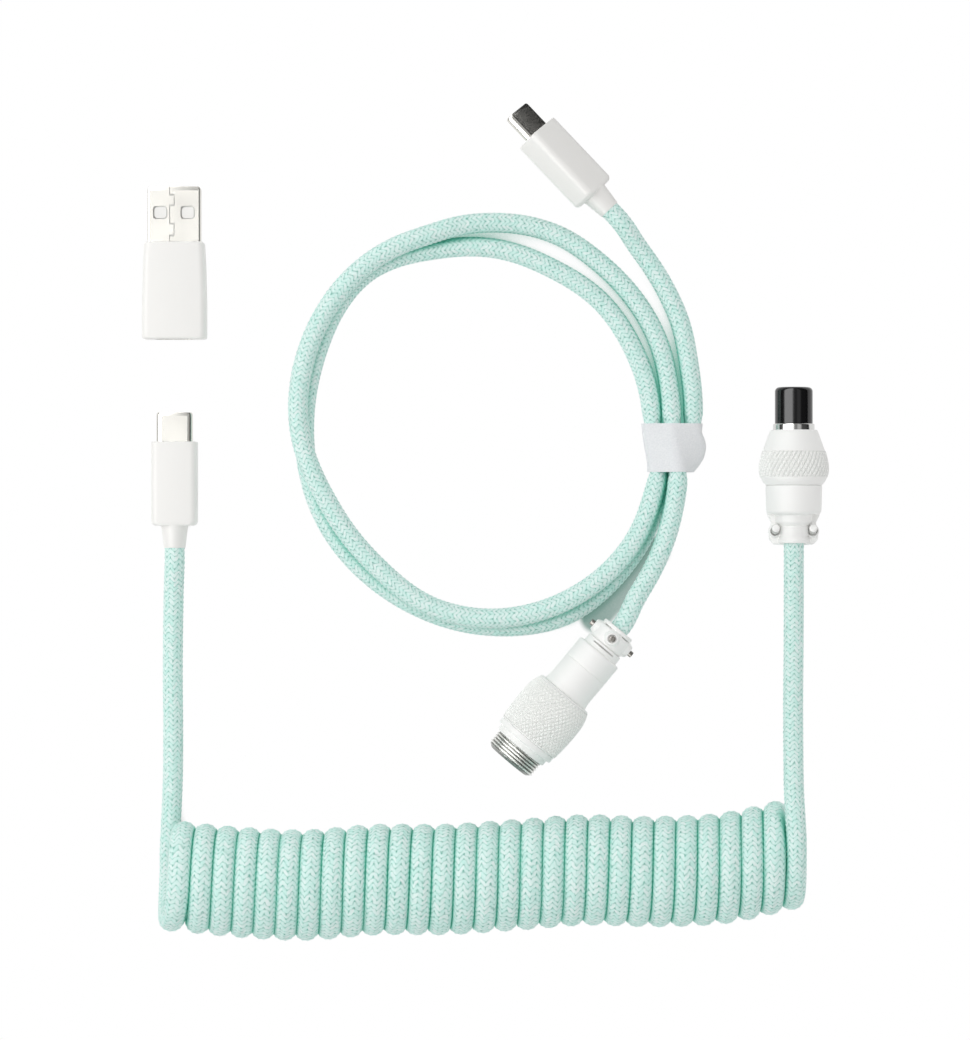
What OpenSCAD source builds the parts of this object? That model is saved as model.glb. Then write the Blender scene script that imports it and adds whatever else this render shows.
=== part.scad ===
// Two-part coiled cable set for a keyboard: a coiled cable and a host cable that meet at a
// round screw-type connector, with a plug adapter. Laid out flat on a desk, +Z up.

/* [Cord] */
// Diameter of the cord under its woven sleeve
cord_d = 4.3; // [3.8:0.1:4.5]
// Thickness that the woven sleeve adds all round
sleeve_t = 0.17; // [0.15:0.01:0.3]

/* [Coil] */
// Turns of the coil, from the desk at its first end to the top at its last
coil_turns = 28.5; // [10.5:1:28.5]
// Diameter of the coil at the middle of the cord
coil_d = 20.2; // [16:0.1:21]
// Room between the sleeves of neighbouring turns
coil_slack = 0.25; // [0.2:0.01:0.5]
// How far the first turn is pressed towards the next ones
coil_run_in = 0.4; // [0:0.05:0.4]

/* [Slim plug] */
// Width of the plug's metal shell
plug_shell_w = 8.25; // [8:0.05:8.5]
// Height of the plug's metal shell
plug_shell_h = 2.4; // [2.3:0.05:2.6]
// Wall of the metal shell
plug_shell_wall = 0.2; // [0.15:0.01:0.25]
// How far the shell stands out of its housing
plug_reach = 6.6; // [6:0.1:7.5]
// How far the shell is held inside its housing
plug_seat = 4; // [3:0.1:5]
// Width of the plug's housing
plug_body_w = 10.3; // [9.8:0.1:12]
// Length of the plug's housing
plug_body_l = 19; // [17:0.5:24]
// Corner radius of the plug's housing across its length
plug_round = 1.5; // [1:0.1:2.6]
// Corner radius of the plug's housing in plan
plug_corner = 1.1; // [0.5:0.1:2]
// Depth of the slot in the shell for the mating tongue
plug_slot_l = 5.8; // [5.5:0.1:5.9]
// Diameter of the strain relief where it leaves the housing
collar_d = 6; // [5.8:0.1:6.6]
// Diameter of the strain relief where the cord leaves it
collar_tip_d = 4.8; // [4.7:0.1:5.6]
// Length of the strain relief
collar_l = 5; // [4:0.5:8]
// Thickness of the plug housings and of the adapter
body_t = 6.6; // [6.2:0.1:8]

/* [Boards and wires] */
// Thickness of the circuit boards
board_t = 0.8; // [0.6:0.1:1]
// Width of a plug's circuit board
plug_board_w = 7; // [6:0.1:7.2]
// Length of a plug's circuit board
plug_board_l = 9; // [6:0.5:11]
// Width of the adapter's circuit board
adapter_board_w = 10; // [8:0.1:10.4]
// Diameter of each insulated wire
wire_d = 0.8; // [0.6:0.05:0.9]

/* [Adapter] */
// Length of the adapter's housing
adapter_l = 22; // [20:0.5:28]
// Width of the housing at its socket end
adapter_w = 14.5; // [14:0.1:16]
// Width of the housing at its plug end
adapter_front_w = 13.3; // [13.2:0.1:14.4]
// Width of the housing where its shoulders begin
adapter_shoulder_w = 13.9; // [13.4:0.1:14.4]
// Length of the shoulders behind the plug end
adapter_shoulder_l = 3.5; // [2:0.1:5]
// Length over which the housing keeps its full width
adapter_straight_l = 8; // [4:0.5:14]
// Corner radius of the adapter's housing
adapter_round = 1.5; // [0.5:0.1:2.5]
// Width of the flat plug's metal shell
usb_a_w = 12; // [11.8:0.05:12.2]
// Height of the flat plug's metal shell
usb_a_h = 4.5; // [4.4:0.05:4.7]
// Wall of the flat plug's shell
usb_a_wall = 0.3; // [0.2:0.05:0.4]
// How far the flat plug stands out of the housing
usb_a_reach = 12.4; // [11.5:0.1:13]
// How far the flat plug's shell is held inside the housing
usb_a_seat = 4; // [3:0.1:5]
// Width of each latch window in the shell
window_w = 2.7; // [2:0.1:3]
// Length of each latch window
window_l = 2.5; // [2:0.1:3]
// Distance between the middles of the two windows
window_pitch = 6.2; // [5:0.1:7]
// Distance of the windows from the plug's tip
window_back = 5.9; // [5:0.1:7]
// Depth of the slim socket in the adapter
socket_l = 7.2; // [7.1:0.1:8]
// Wall of the slim socket's shell
socket_wall = 0.25; // [0.2:0.01:0.35]
// Thickness of the tongue in the slim socket
tongue_t = 0.7; // [0.6:0.02:0.72]
// Width of the tongue
tongue_w = 6.6; // [6:0.1:6.7]

/* [Round connectors] */
// Diameter of the black insert at the tip of the round plug
tip_d = 8.5; // [7.6:0.1:8.6]
// Length of the black insert that stands out
tip_l = 8.2; // [6:0.1:9]
// Diameter of the bright sleeve behind the tip
barrel_d = 9.4; // [8.8:0.1:9.5]
// Length of the bright sleeve that shows
barrel_show = 1.4; // [0.5:0.1:3]
// Largest diameter of the coupling ring and of the grip
grip_d = 15.8; // [15.2:0.1:17]
// Diameter of the round plug's back shell
shell_d = 12.4; // [12:0.1:13]
// Diameter of the round plug's neck
neck_d = 8.4; // [8:0.1:9]
// Diameter of the neck under the cable clamp
throat_d = 6; // [5.9:0.1:6.2]
// Length of neck and clamp together
neck_l = 6.5; // [6.2:0.1:8]
// Depth to which the cord is held inside the neck
gland_l = 2; // [1.5:0.1:3]
// Number of contacts in the round connectors
contact_count = 5; // [3:1:5]
// Diameter of each round contact
contact_d = 1; // [0.8:0.05:1.1]
// Diameter of the circle of contacts
contact_circle = 3.4; // [3.2:0.1:3.8]

/* [Coupling ring] */
// Length of the coupling ring
ring_l = 12.4; // [12.2:0.1:14]
// Wall of the ring at its front edge
ring_edge_wall = 0.45; // [0.4:0.05:0.9]
// Diameter of the ring at its rear edge
ring_rear_d = 12.9; // [12.4:0.1:13.5]
// Length of the knurled band
knurl_l = 5.7; // [4:0.1:6]
// Diameter of the ring at the rear edge of the knurled band
knurl_rear_d = 15.3; // [14.8:0.1:15.6]
// Diameter of the ring at the front edge of the knurled band
knurl_front_d = 14.3; // [14:0.1:15]
// Length of the plug's back shell
plug_shell_l = 6.5; // [5:0.1:9]
// How far the ring slides forward over the tip
ring_travel = 5; // [3:0.1:5.2]

/* [Threaded connector] */
// Outside diameter of the thread
thread_d = 12.2; // [11.8:0.1:12.4]
// Length of the thread that shows
thread_l = 4; // [2.5:0.1:5]
// Diameter of the first white ring behind the thread
lip_d = 13; // [12.8:0.1:14]
// Diameter of the second white ring
land_d = 14.6; // [14:0.1:14.8]
// Length of the two white rings together
lip_l = 2.9; // [2.5:0.1:4]
// Length of the knurled grip
grip_l = 12.9; // [10:0.1:15]
// Diameter of the two back shells
back_shell_d = 11; // [10.6:0.1:12]
// Length of the back shell in front of the seam
mid_shell_l = 7.2; // [6:0.1:10]
// Length of the back shell behind the seam
rear_shell_l = 4.9; // [4:0.1:8]
// Free depth of the socket in front of the pins
mouth_l = 4.6; // [4.2:0.1:6]
// Length of the pins in the socket
pin_l = 5.4; // [4:0.1:6]

/* [Tie] */
// Width of the strap along the cords
strap_w = 11; // [9:0.5:13]
// Thickness of the strap
strap_t = 0.6; // [0.5:0.05:1]

/* [Layout on the desk] */
// Line on which the adapter and the coiled cable's plug lie
left_x = -70.1; // [-75:0.1:-66]
// Place of the adapter's socket end
adapter_y = 39.9; // [36:0.1:45]
// Place of the plug housing's front face
plug_y = 16.8; // [14:0.1:18]
// Place of the first turn's top
coil_x = -68.05; // [-72:0.05:-66]
// Place where the incoming cord runs under the coil
coil_lead_x = -71.3; // [-74:0.05:-70]
// Middle line of the coil
coil_y = -79.3; // [-82:0.1:-76]
// Line on which the detachable plug lies
right_x = 69.4; // [66:0.1:72]
// Place of the detachable plug's cord end
right_y = -6.1; // [-10:0.1:0]
// Middle of the host cable's loops, across
loop_x = 2.5; // [0:0.1:5]
// Middle of the host cable's loops, along
loop_y = 20.7; // [18:0.1:23]
// Height of the upper loop above the lower one, over the cord's diameter
loop_lift = 0.46; // [0.44:0.01:0.8]

/* [Hidden] */
$fn = 64;

white = "#f1f1ee";
mint = "#a5e1cd";
bright = "silver";
black = "#141414";
gold = "#d9b45a";
green = "#2f6b46";

// Clearance of pieces that sit in one another
fit = 0.05;
// Clearance of the slim plug's shell in its socket
dock_fit = 0.06;
// Clearance of the sliding ring on the barrel
slide_fit = 0.15;
// Clearance of the cord in the round connectors' necks
gland_fit = 0.3;
// Small step that lets a cut pass its faces
cut = 0.1;

// Height of a resting cord's middle above the desk
cord_rest = cord_d / 2 + sleeve_t;
coil_pitch = cord_d + 2 * sleeve_t + coil_slack;
coil_r = coil_d / 2;
coil_z = coil_r + cord_rest;
axis_z = grip_d / 2;
seat_z = body_t / 2;

// Slim plug, measured from its housing's front face, forward along +Y
plug_inner_w = plug_shell_w - 2 * plug_shell_wall;
plug_inner_h = plug_shell_h - 2 * plug_shell_wall;
strip_t = 0.1;
strip_w = 0.25;
strip_pitch = 0.5;
strip_count = 12;
pad_t = 0.04;
slot_h = tongue_t + 2 * (strip_t + pad_t + fit);
slot_w = tongue_w + 6 * fit;
plug_board_y = -plug_seat - plug_board_l;
plug_end_y = -plug_body_l - collar_l;
wire_bore = 3.2;
cavity_h = 3;

// Adapter, measured from its socket end, forward along +Y
socket_w = plug_shell_w + 2 * dock_fit;
socket_h = plug_shell_h + 2 * dock_fit;
tongue_back = 1.5;
tongue_base = 0.3;
adapter_board_l = adapter_l - usb_a_seat - socket_l;
usb_a_y = adapter_l - usb_a_seat;
usb_a_tip = adapter_l + usb_a_reach;
usb_a_inner_w = usb_a_w - 2 * usb_a_wall;
usb_a_inner_h = usb_a_h - 2 * usb_a_wall;
usb_a_block_t = 1.85;
usb_a_block_l = 5;

// Round plug, measured from the cord's end, forward along +Y
wire_ring = 1.2;
shell_y = neck_l;
spigot_l = 2;
spigot_d = barrel_d;
ring_y = shell_y + plug_shell_l + fit;
barrel_y = shell_y + plug_shell_l + spigot_l;
barrel_end = ring_y + ring_l + barrel_show;
tip_end = barrel_end + tip_l;
stem_d = 6.4;
stem_y = shell_y + 2.5;
contact_y = stem_y - 1.5;
ring_room = 0.9;
ring_bore = barrel_d + 2 * ring_room;
ring_front_d = barrel_d + 2 * (slide_fit + ring_edge_wall);
ring_lip_l = 3.5;
ring_lip_y = ring_y + ring_l - ring_lip_l;
retainer_t = 1.2;
retainer_y = ring_y + 0.2;
flange_t = 0.8;
flange_y = retainer_y + retainer_t + ring_travel + 0.1;
washer_t = 1;

// Threaded connector, measured from the cord's end, forward along +Y
slit = 0.3;
shell_wall = 0.7;
thread_depth = 0.6;
rear_y = neck_l + slit;
mid_y = rear_y + rear_shell_l;
grip_y = mid_y + mid_shell_l;
lip_y = grip_y + grip_l;
thread_y = lip_y + lip_l;
thread_end = thread_y + thread_l;
core_d = thread_d - 2 * thread_depth;
core_spigot_d = back_shell_d - 2 * shell_wall;
core_y = mid_y + 3;
mouth_d = tip_d + 0.4;
pin_seat_y = thread_end - mouth_l - pin_l;
pin_seat_l = 3;
inner_bore = 7;

// Cable clamp
clamp_y = 1.1;
clamp_l = 3.2;
lug_span = 10;
lug_t = 1.6;
ear_t = 2.2;
ear_w = 12;
ear_tip_w = 8.4;
ear_grip = 0.9;
screw_x = 4.2;
screw_d = 1.2;
screw_head_d = 1.75;
screw_head_l = 0.9;
clamp_gap = 0.3;
threaded_neck_d = 7.4;
boss_reach = 4.6;
screw_reach = 5.9;

// Host cable's pieces on the desk: place and turn
host_plug_at = [11.6, 86.4];
host_plug_turn = 43.5;
host_plug_roll = 47;
threaded_at = [30.15, -25.4];
threaded_turn = 140.05;

// Height of a rounded bar's middle when it lies rolled on the desk
host_plug_z = (plug_body_w / 2 - plug_round) * sin(host_plug_roll)
    + (body_t / 2 - plug_round) * cos(host_plug_roll) + plug_round;

// Sideways wander of the coil's middle line, at even steps along it
coil_sway = [-1, -2.55, -3.2, -2, -1.95, -0.95, 0.15, -0.2, 0.6, 3.95];
// Share of its slope that a turn takes from its top, and from its back, at both ends of the coil
coil_lean = [0.4, 0.7];
coil_skew = [0.8, -0.35];

// Loops of the host cable: degrees clockwise from +X, radius, and layer (0 on the desk, 1 on top)
loop_stations = [
    [20, 41.4, 0], [40, 42.3, 0], [55, 44.2, 0], [70, 46, 0], [90, 45.7, 0], [120, 44.7, 0], [150, 44.3, 0],
    [180, 43.4, 0], [200, 43.6, 0], [220, 45, 0], [230, 45.1, 0], [240, 43.8, 0], [250, 42, 0],
    [270, 39.8, 0], [290, 37.5, 0], [310, 36.6, 0], [330, 35.5, 0], [345, 35.3, 0.05], [360, 35.5, 0.2],
    [370, 36.3, 0.45], [377, 37.5, 0.75], [386, 38.9, 1], [400, 40.7, 1], [420, 42.3, 1], [450, 43.8, 1],
    [470, 43.6, 1], [490, 41.8, 1], [510, 41.6, 1], [520, 42.2, 1], [540, 44.4, 1], [560, 45.5, 1],
    [585, 46.3, 1], [600, 45.9, 1], [610, 45.3, 0.8], [620, 45.6, 0.45], [630, 45.6, 0.2],
    [640, 45.5, 0.04], [650, 44.9, 0], [660, 43.7, 0], [670, 42.8, 0], [690, 41.4, 0], [705, 40.3, 0],
    [720, 39.7, 0]
];
loop_start = 40;
loop_count = 44;
loop_step = 15;

// Free stretches of cord between their ends: places on the desk and heights
device_lead_points = [
    [-70.3, -14, 2.6], [-70.5, -24, 2.32], [-70.6, -36, 2.32], [-70.5, -48, 2.32], [-70.6, -60, 2.32]
];
coiled_tail_points = [
    [68.5, -61, 19.8], [68.7, -51, 15.4], [69, -41, 11.1], [69.3, -31, 8.4], [69.4, -21, 7.6], [69.4, -13, 7.8]
];
host_lead_points = [
    [33.8, 61.8, 3.4], [38.3, 55.6, 2.4], [41.7, 49.6, 2.32], [44.4, 43, 2.32], [46, 35, 2.32],
    [47, 26.5, 2.8], [46.9, 20.7, 3.2], [46.1, 15.4, 3.3], [43.3, 9.8, 3.1], [41.3, 6.4, 2.7],
    [39.4, 3, 2.4], [37.6, -1, 2.32]
];
host_tail_points = [
    [41.5, 30, 2.6], [42, 25.5, 3.3], [42.2, 20.7, 4.5], [42.7, 15.4, 6.6], [43.4, 9.8, 8],
    [42.9, 4.4, 8.1], [41, -4, 8], [37.6, -12.2, 7.9], [33.4, -19.4, 7.9]
];

// Strap sections along the cords: place, left edge, right edge and top of the strands inside
strap_y = 15.4;
strap_sections = [[-0.5, 35.6, 45.9, 10.5], [0, 35.5, 48.7, 9], [0.5, 35.2, 49.4, 6.9]];
strap_round = 2.4;

function unit(v) = v / norm(v);
function last(v) = v[len(v) - 1];
function mix(a, b, t) = a * (1 - t) + b * t;

// Smooth curve through points, in even steps of each span
function spline_at(p, i, t) =
    let (
        a = p[max(i - 1, 0)],
        b = p[i],
        c = p[i + 1],
        d = p[min(i + 2, len(p) - 1)]
    )
    0.5 * (2 * b + (c - a) * t + (2 * a - 5 * b + 4 * c - d) * t * t + (3 * b - a - 3 * c + d) * t * t * t);
function smooth_route(p, steps) = concat(
    [for (i = [0 : len(p) - 2], k = [0 : steps - 1]) spline_at(p, i, k / steps)],
    [last(p)]
);

// Value of a table of [place, value, ...] rows at a place, eased by the slopes on both sides
function row_slope(rows, i, column) =
    let (
        a = max(i - 1, 0),
        b = min(i + 1, len(rows) - 1)
    )
    (rows[b][column] - rows[a][column]) / (rows[b][0] - rows[a][0]);
function row_at(rows, place, column, i = 0) =
    i < len(rows) - 2 && place > rows[i + 1][0] ? row_at(rows, place, column, i + 1) :
    let (
        span = rows[i + 1][0] - rows[i][0],
        t = (place - rows[i][0]) / span,
        m0 = row_slope(rows, i, column) * span,
        m1 = row_slope(rows, i + 1, column) * span,
        v0 = rows[i][column],
        v1 = rows[i + 1][column]
    )
    v0 * (1 + 2 * t) * (1 - t) * (1 - t) + m0 * t * (1 - t) * (1 - t)
        + v1 * t * t * (3 - 2 * t) + m1 * t * t * (t - 1);

// Middle of the cord along the coil, by turns from the first top
coil_first = -0.5;
coil_last = coil_turns - 0.5;
sway_rows = [for (i = [0 : len(coil_sway) - 1]) [mix(coil_first, coil_last, i / (len(coil_sway) - 1)), coil_sway[i]]];
run_in_turns = 5;
function run_in(turn) = coil_run_in * (1 - pow(min(1, turn / run_in_turns), 2));
function sidestep(turn) = let (share = turn / coil_last)
    mix(coil_lean[0], coil_lean[1], share) * sin(360 * turn)
        + mix(coil_skew[0], coil_skew[1], share) * (1 - cos(360 * turn));
function coil_free_x(turn) = coil_x + coil_pitch * (turn - sidestep(turn) / (2 * PI)) + run_in(turn);
function coil_first_x(turn) = let (t = pow(1 - turn / coil_first, 1.5))
    mix(coil_lead_x, coil_free_x(0), t * t * (3 - 2 * t));
function coil_at(turn) = [
    turn < 0 ? coil_first_x(turn) : coil_free_x(turn),
    coil_y + row_at(sway_rows, turn, 1) + coil_r * sin(360 * turn),
    coil_z + coil_r * cos(360 * turn)
];
coil_rings_per_turn = 8;
coil_points = [
    for (k = [0 : round(coil_turns * coil_rings_per_turn)]) coil_at(coil_first + k / coil_rings_per_turn)
];
coil_start = coil_points[0] + [0, cord_d, 0];
coil_end = last(coil_points) + [0, cord_d, 0];
coil_route = concat([coil_start], coil_points, [coil_end]);

// Middle of the cord along the host cable's loops
function loop_at(place) =
    let (r = row_at(loop_stations, place, 1))
    [
        loop_x + r * cos(place),
        loop_y - r * sin(place),
        cord_rest + row_at(loop_stations, place, 2) * (cord_d + loop_lift)
    ];
loop_points = [for (k = [0 : loop_count]) loop_at(loop_start + k * loop_step)];
loop_in = unit(loop_at(loop_start + 2) - loop_at(loop_start));
loop_out = unit(loop_at(loop_start + loop_count * loop_step) - loop_at(loop_start + loop_count * loop_step - 2));
loop_route = concat([loop_points[0] - cord_d * loop_in], loop_points, [last(loop_points) + cord_d * loop_out]);

// Least gap between stretches of a route that are more than a few diameters apart along it
function least_gap(p, apart) = min([
    for (i = [0 : len(p) - 1 - apart], j = [i + apart : len(p) - 1]) norm(p[i] - p[j])
]) - cord_d;

// Place of the host cable's cord ends
function turned(a, v) = [v.x * cos(a) - v.y * sin(a), v.x * sin(a) + v.y * cos(a)];
host_plug_back = turned(host_plug_turn, [0, -1]);
host_exit = concat(host_plug_at - plug_end_y * host_plug_back, [host_plug_z]);
threaded_front = turned(threaded_turn, [0, 1]);
threaded_exit = concat(threaded_at + gland_l * threaded_front, [axis_z]);
device_exit = [left_x, plug_y + plug_end_y, seat_z];
round_exit = [right_x, right_y + gland_l, axis_z];

// Route through points, with a straight run of one cord diameter at each end
function cord_route(from, from_dir, points, to, to_dir, steps) = concat(
    [from],
    smooth_route(concat([from + cord_d * from_dir], points, [to - cord_d * to_dir]), steps),
    [to]
);
device_lead_route = cord_route(device_exit, [0, -1, 0], device_lead_points, coil_start, [0, -1, 0], 1);
coiled_tail_route = cord_route(coil_end, [0, 1, 0], coiled_tail_points, round_exit, [0, 1, 0], 1);
host_lead_route = cord_route(
    host_exit, concat(host_plug_back, [0]), host_lead_points, loop_route[0], loop_in, 2
);
host_tail_route = cord_route(
    last(loop_route), loop_out, host_tail_points, threaded_exit, concat(threaded_front, [0]), 2
);

// Tube along a route, with flat ends; each ring is square to the cord
function route_dir(p, i) = unit(p[min(i + 1, len(p) - 1)] - p[max(i - 1, 0)]);
function ring_at(p, i, sides, ref) =
    let (
        along = route_dir(p, i),
        across = unit(cross(along, ref)),
        up = cross(across, along)
    )
    [for (s = [0 : sides - 1]) p[i] + cord_d / 2 * (cos(360 * s / sides) * up + sin(360 * s / sides) * across)];
module tube(p, sides, ref) {
    n = len(p);
    points = [for (i = [0 : n - 1]) each ring_at(p, i, sides, ref)];
    walls = [
        for (i = [0 : n - 2], s = [0 : sides - 1])
            let (t = (s + 1) % sides, a = i * sides)
            each [[a + s, a + t, a + sides + t], [a + s, a + sides + t, a + sides + s]]
    ];
    near_cap = [for (s = [sides - 1 : -1 : 0]) s];
    far_cap = [for (s = [0 : sides - 1]) (n - 1) * sides + s];
    polyhedron(points, concat(walls, [near_cap, far_cap]), convexity = 10);
}

// Flat outlines
module stadium(w, h) {
    square([w - h, h], center = true);
    for (side = [-1, 1]) translate([side * (w - h) / 2, 0]) circle(d = h);
}
module rounded(w, h, r) {
    square([w - 2 * r, h], center = true);
    square([w, h - 2 * r], center = true);
    for (x = [-1, 1], y = [-1, 1]) translate([x * (w / 2 - r), y * (h / 2 - r)]) circle(r = r);
}

// Solids along +Y
module bar_y(y, l) { translate([0, y + l, 0]) rotate([90, 0, 0]) linear_extrude(l) children(); }
module rod_y(y, l, d) { translate([0, y, 0]) rotate([-90, 0, 0]) cylinder(h = l, d = d); }
module turned_y(outline) { rotate([-90, 0, 0]) rotate_extrude() polygon(outline); }
module block(from, to) { translate(from) cube(to - from); }

// Places on the desk
module at_adapter() { translate([left_x, adapter_y, seat_z]) children(); }
module at_device_plug() { translate([left_x, plug_y, seat_z]) children(); }
module at_round_plug() { translate([right_x, right_y, axis_z]) children(); }
module at_host_plug() {
    translate(concat(host_plug_at, [host_plug_z])) rotate([0, 0, host_plug_turn]) rotate([0, host_plug_roll, 0]) children();
}
module at_threaded() { translate(concat(threaded_at, [axis_z])) rotate([0, 0, threaded_turn]) children(); }

// Slim plug
module plug_shell() {
    color(bright) difference() {
        bar_y(-plug_seat, plug_seat + plug_reach) stadium(plug_shell_w, plug_shell_h);
        bar_y(-plug_seat - cut, plug_seat + plug_reach + 2 * cut) stadium(plug_inner_w, plug_inner_h);
    }
}
module plug_insert() {
    tip_back = 0.3;
    color(black) difference() {
        bar_y(-plug_seat, plug_seat + plug_reach - tip_back) stadium(plug_inner_w - 2 * fit, plug_inner_h - 2 * fit);
        block([-slot_w / 2, plug_reach - plug_slot_l, -slot_h / 2], [slot_w / 2, plug_reach, slot_h / 2]);
    }
}
module plug_contacts() {
    strip_l = 4.5;
    first_x = -strip_pitch * (strip_count - 1) / 2;
    color(gold) for (side = [0, 1], i = [0 : strip_count - 1]) mirror([0, 0, side])
        translate([first_x + strip_pitch * i - strip_w / 2, plug_reach - plug_slot_l, slot_h / 2 - strip_t])
            cube([strip_w, strip_l, strip_t]);
}
module plug_board() {
    color(green) block([-plug_board_w / 2, plug_board_y, -board_t / 2], [plug_board_w / 2, -plug_seat, board_t / 2]);
}
module plug_housing() {
    cavity_w = plug_board_w + 0.4;
    rear_room = 1;
    color(white) difference() {
        intersection() {
            bar_y(-plug_body_l, plug_body_l) rounded(plug_body_w, body_t, plug_round);
            translate([0, -plug_body_l / 2, -body_t]) linear_extrude(2 * body_t)
                rounded(plug_body_w, plug_body_l, plug_corner);
        }
        bar_y(-plug_seat, plug_seat + cut) stadium(plug_shell_w + 2 * fit, plug_shell_h + 2 * fit);
        block([-cavity_w / 2, plug_board_y - rear_room, -cavity_h / 2], [cavity_w / 2, -plug_seat, cavity_h / 2]);
        rod_y(-plug_body_l - cut, plug_body_l + plug_board_y, wire_bore);
    }
}
module plug_collar() {
    color(white) difference() {
        translate([0, plug_end_y, 0]) rotate([-90, 0, 0]) cylinder(h = collar_l, d1 = collar_tip_d, d2 = collar_d);
        rod_y(plug_end_y - cut, collar_l + 2 * cut, wire_bore);
    }
}
module plug_wires() {
    spread = wire_d / 2 + 0.15;
    color("#c9c9c9") for (x = [-1, 1], z = [-1, 1]) translate([x * spread, 0, z * spread])
        rod_y(plug_end_y, plug_board_y - plug_end_y, wire_d);
}

// Adapter from the slim plug to the flat one
module adapter_housing() {
    board_room = 0.2;
    side = [
        [adapter_w / 2, 0], [adapter_w / 2, adapter_straight_l],
        [adapter_shoulder_w / 2, adapter_l - adapter_shoulder_l], [adapter_front_w / 2, adapter_l]
    ];
    color(white) at_adapter() difference() {
        intersection() {
            bar_y(0, adapter_l) rounded(adapter_w, body_t, adapter_round);
            translate([0, 0, -body_t]) linear_extrude(2 * body_t)
                polygon(concat(side, [for (i = [len(side) - 1 : -1 : 0]) [-side[i].x, side[i].y]]));
        }
        bar_y(-cut, socket_l + cut) stadium(socket_w + 2 * (socket_wall + fit), socket_h + 2 * (socket_wall + fit));
        block(
            [-adapter_board_w / 2 - board_room, socket_l - cut, -cavity_h / 2],
            [adapter_board_w / 2 + board_room, usb_a_y + cut, cavity_h / 2]
        );
        block(
            [-usb_a_w / 2 - fit, usb_a_y, -usb_a_h / 2 - fit],
            [usb_a_w / 2 + fit, adapter_l + cut, usb_a_h / 2 + fit]
        );
    }
}
module adapter_plug_shell() {
    color(bright) at_adapter() difference() {
        block([-usb_a_w / 2, usb_a_y, -usb_a_h / 2], [usb_a_w / 2, usb_a_tip, usb_a_h / 2]);
        block(
            [-usb_a_inner_w / 2, usb_a_y - cut, -usb_a_inner_h / 2],
            [usb_a_inner_w / 2, usb_a_tip + cut, usb_a_inner_h / 2]
        );
        for (x = [-1, 1]) translate([x * window_pitch / 2, usb_a_tip - window_back, 0])
            cube([window_w, window_l, usb_a_h + 2 * cut], center = true);
    }
}
module adapter_plug_insulator() {
    half_w = usb_a_inner_w / 2 - fit;
    floor_z = -usb_a_inner_h / 2;
    tip_back = 0.4;
    color(white) at_adapter() mirror([0, 0, 1]) {
        block([-half_w, usb_a_y, floor_z], [half_w, usb_a_tip - tip_back, floor_z + usb_a_block_t]);
        block([-half_w, usb_a_y, floor_z], [half_w, usb_a_y + usb_a_block_l, usb_a_inner_h / 2 - fit]);
    }
}
module adapter_plug_contacts() {
    contact_w = 1;
    contact_t = 0.15;
    contact_l = 7.4;
    tip_back = 2;
    places = [-3.5, -1, 1, 3.5];
    top_z = -usb_a_inner_h / 2 + usb_a_block_t;
    color(gold) at_adapter() mirror([0, 0, 1]) for (x = places)
        translate([x - contact_w / 2, usb_a_tip - tip_back - contact_l, top_z]) cube([contact_w, contact_l, contact_t]);
}
module adapter_board() {
    color(green) at_adapter() block(
        [-adapter_board_w / 2, socket_l, -board_t / 2],
        [adapter_board_w / 2, socket_l + adapter_board_l, board_t / 2]
    );
}
module adapter_socket_shell() {
    color(bright) at_adapter() difference() {
        bar_y(fit, socket_l - fit) stadium(socket_w + 2 * socket_wall, socket_h + 2 * socket_wall);
        bar_y(-cut, socket_l + 2 * cut) stadium(socket_w, socket_h);
    }
}
module adapter_socket_tongue() {
    color(black) at_adapter() {
        bar_y(socket_l - tongue_base, tongue_base) stadium(socket_w - 2 * fit, socket_h - 2 * fit);
        block([-tongue_w / 2, tongue_back, -tongue_t / 2], [tongue_w / 2, socket_l - tongue_base / 2, tongue_t / 2]);
    }
}
module adapter_socket_contacts() {
    pad_l = 3.2;
    pad_back = 0.8;
    first_x = -strip_pitch * (strip_count - 1) / 2;
    color(gold) at_adapter() for (side = [0, 1], i = [0 : strip_count - 1]) mirror([0, 0, side])
        translate([first_x + strip_pitch * i - strip_w / 2, tongue_back + pad_back, tongue_t / 2])
            cube([strip_w, pad_l, pad_t]);
}

// Slim plug of the coiled cable
module device_plug_shell() { at_device_plug() plug_shell(); }
module device_plug_insert() { at_device_plug() plug_insert(); }
module device_plug_contacts() { at_device_plug() plug_contacts(); }
module device_plug_board() { at_device_plug() plug_board(); }
module device_plug_housing() { at_device_plug() plug_housing(); }
module device_plug_collar() { at_device_plug() plug_collar(); }
module device_plug_wires() { at_device_plug() plug_wires(); }

// Coiled cord
module coiled_cord_lead() { color(mint) tube(device_lead_route, 8, [0, 0, 1]); }
module coiled_cord_coil() {
    echo(coil_least_gap = least_gap(coil_points, coil_rings_per_turn - 2));
    color(mint) tube(coil_route, 6, [1, 0, 0]);
}
module coiled_cord_tail() { color(mint) tube(coiled_tail_route, 8, [0, 0, 1]); }

// Contacts and wires of both round connectors
module contact_places(r) {
    for (i = [0 : contact_count - 1]) rotate([0, 360 * i / contact_count, 0]) translate([0, 0, r]) children();
}
module round_wires(y) {
    color("#c9c9c9") contact_places(wire_ring) rod_y(gland_l, y - gland_l, wire_d);
}

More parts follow.
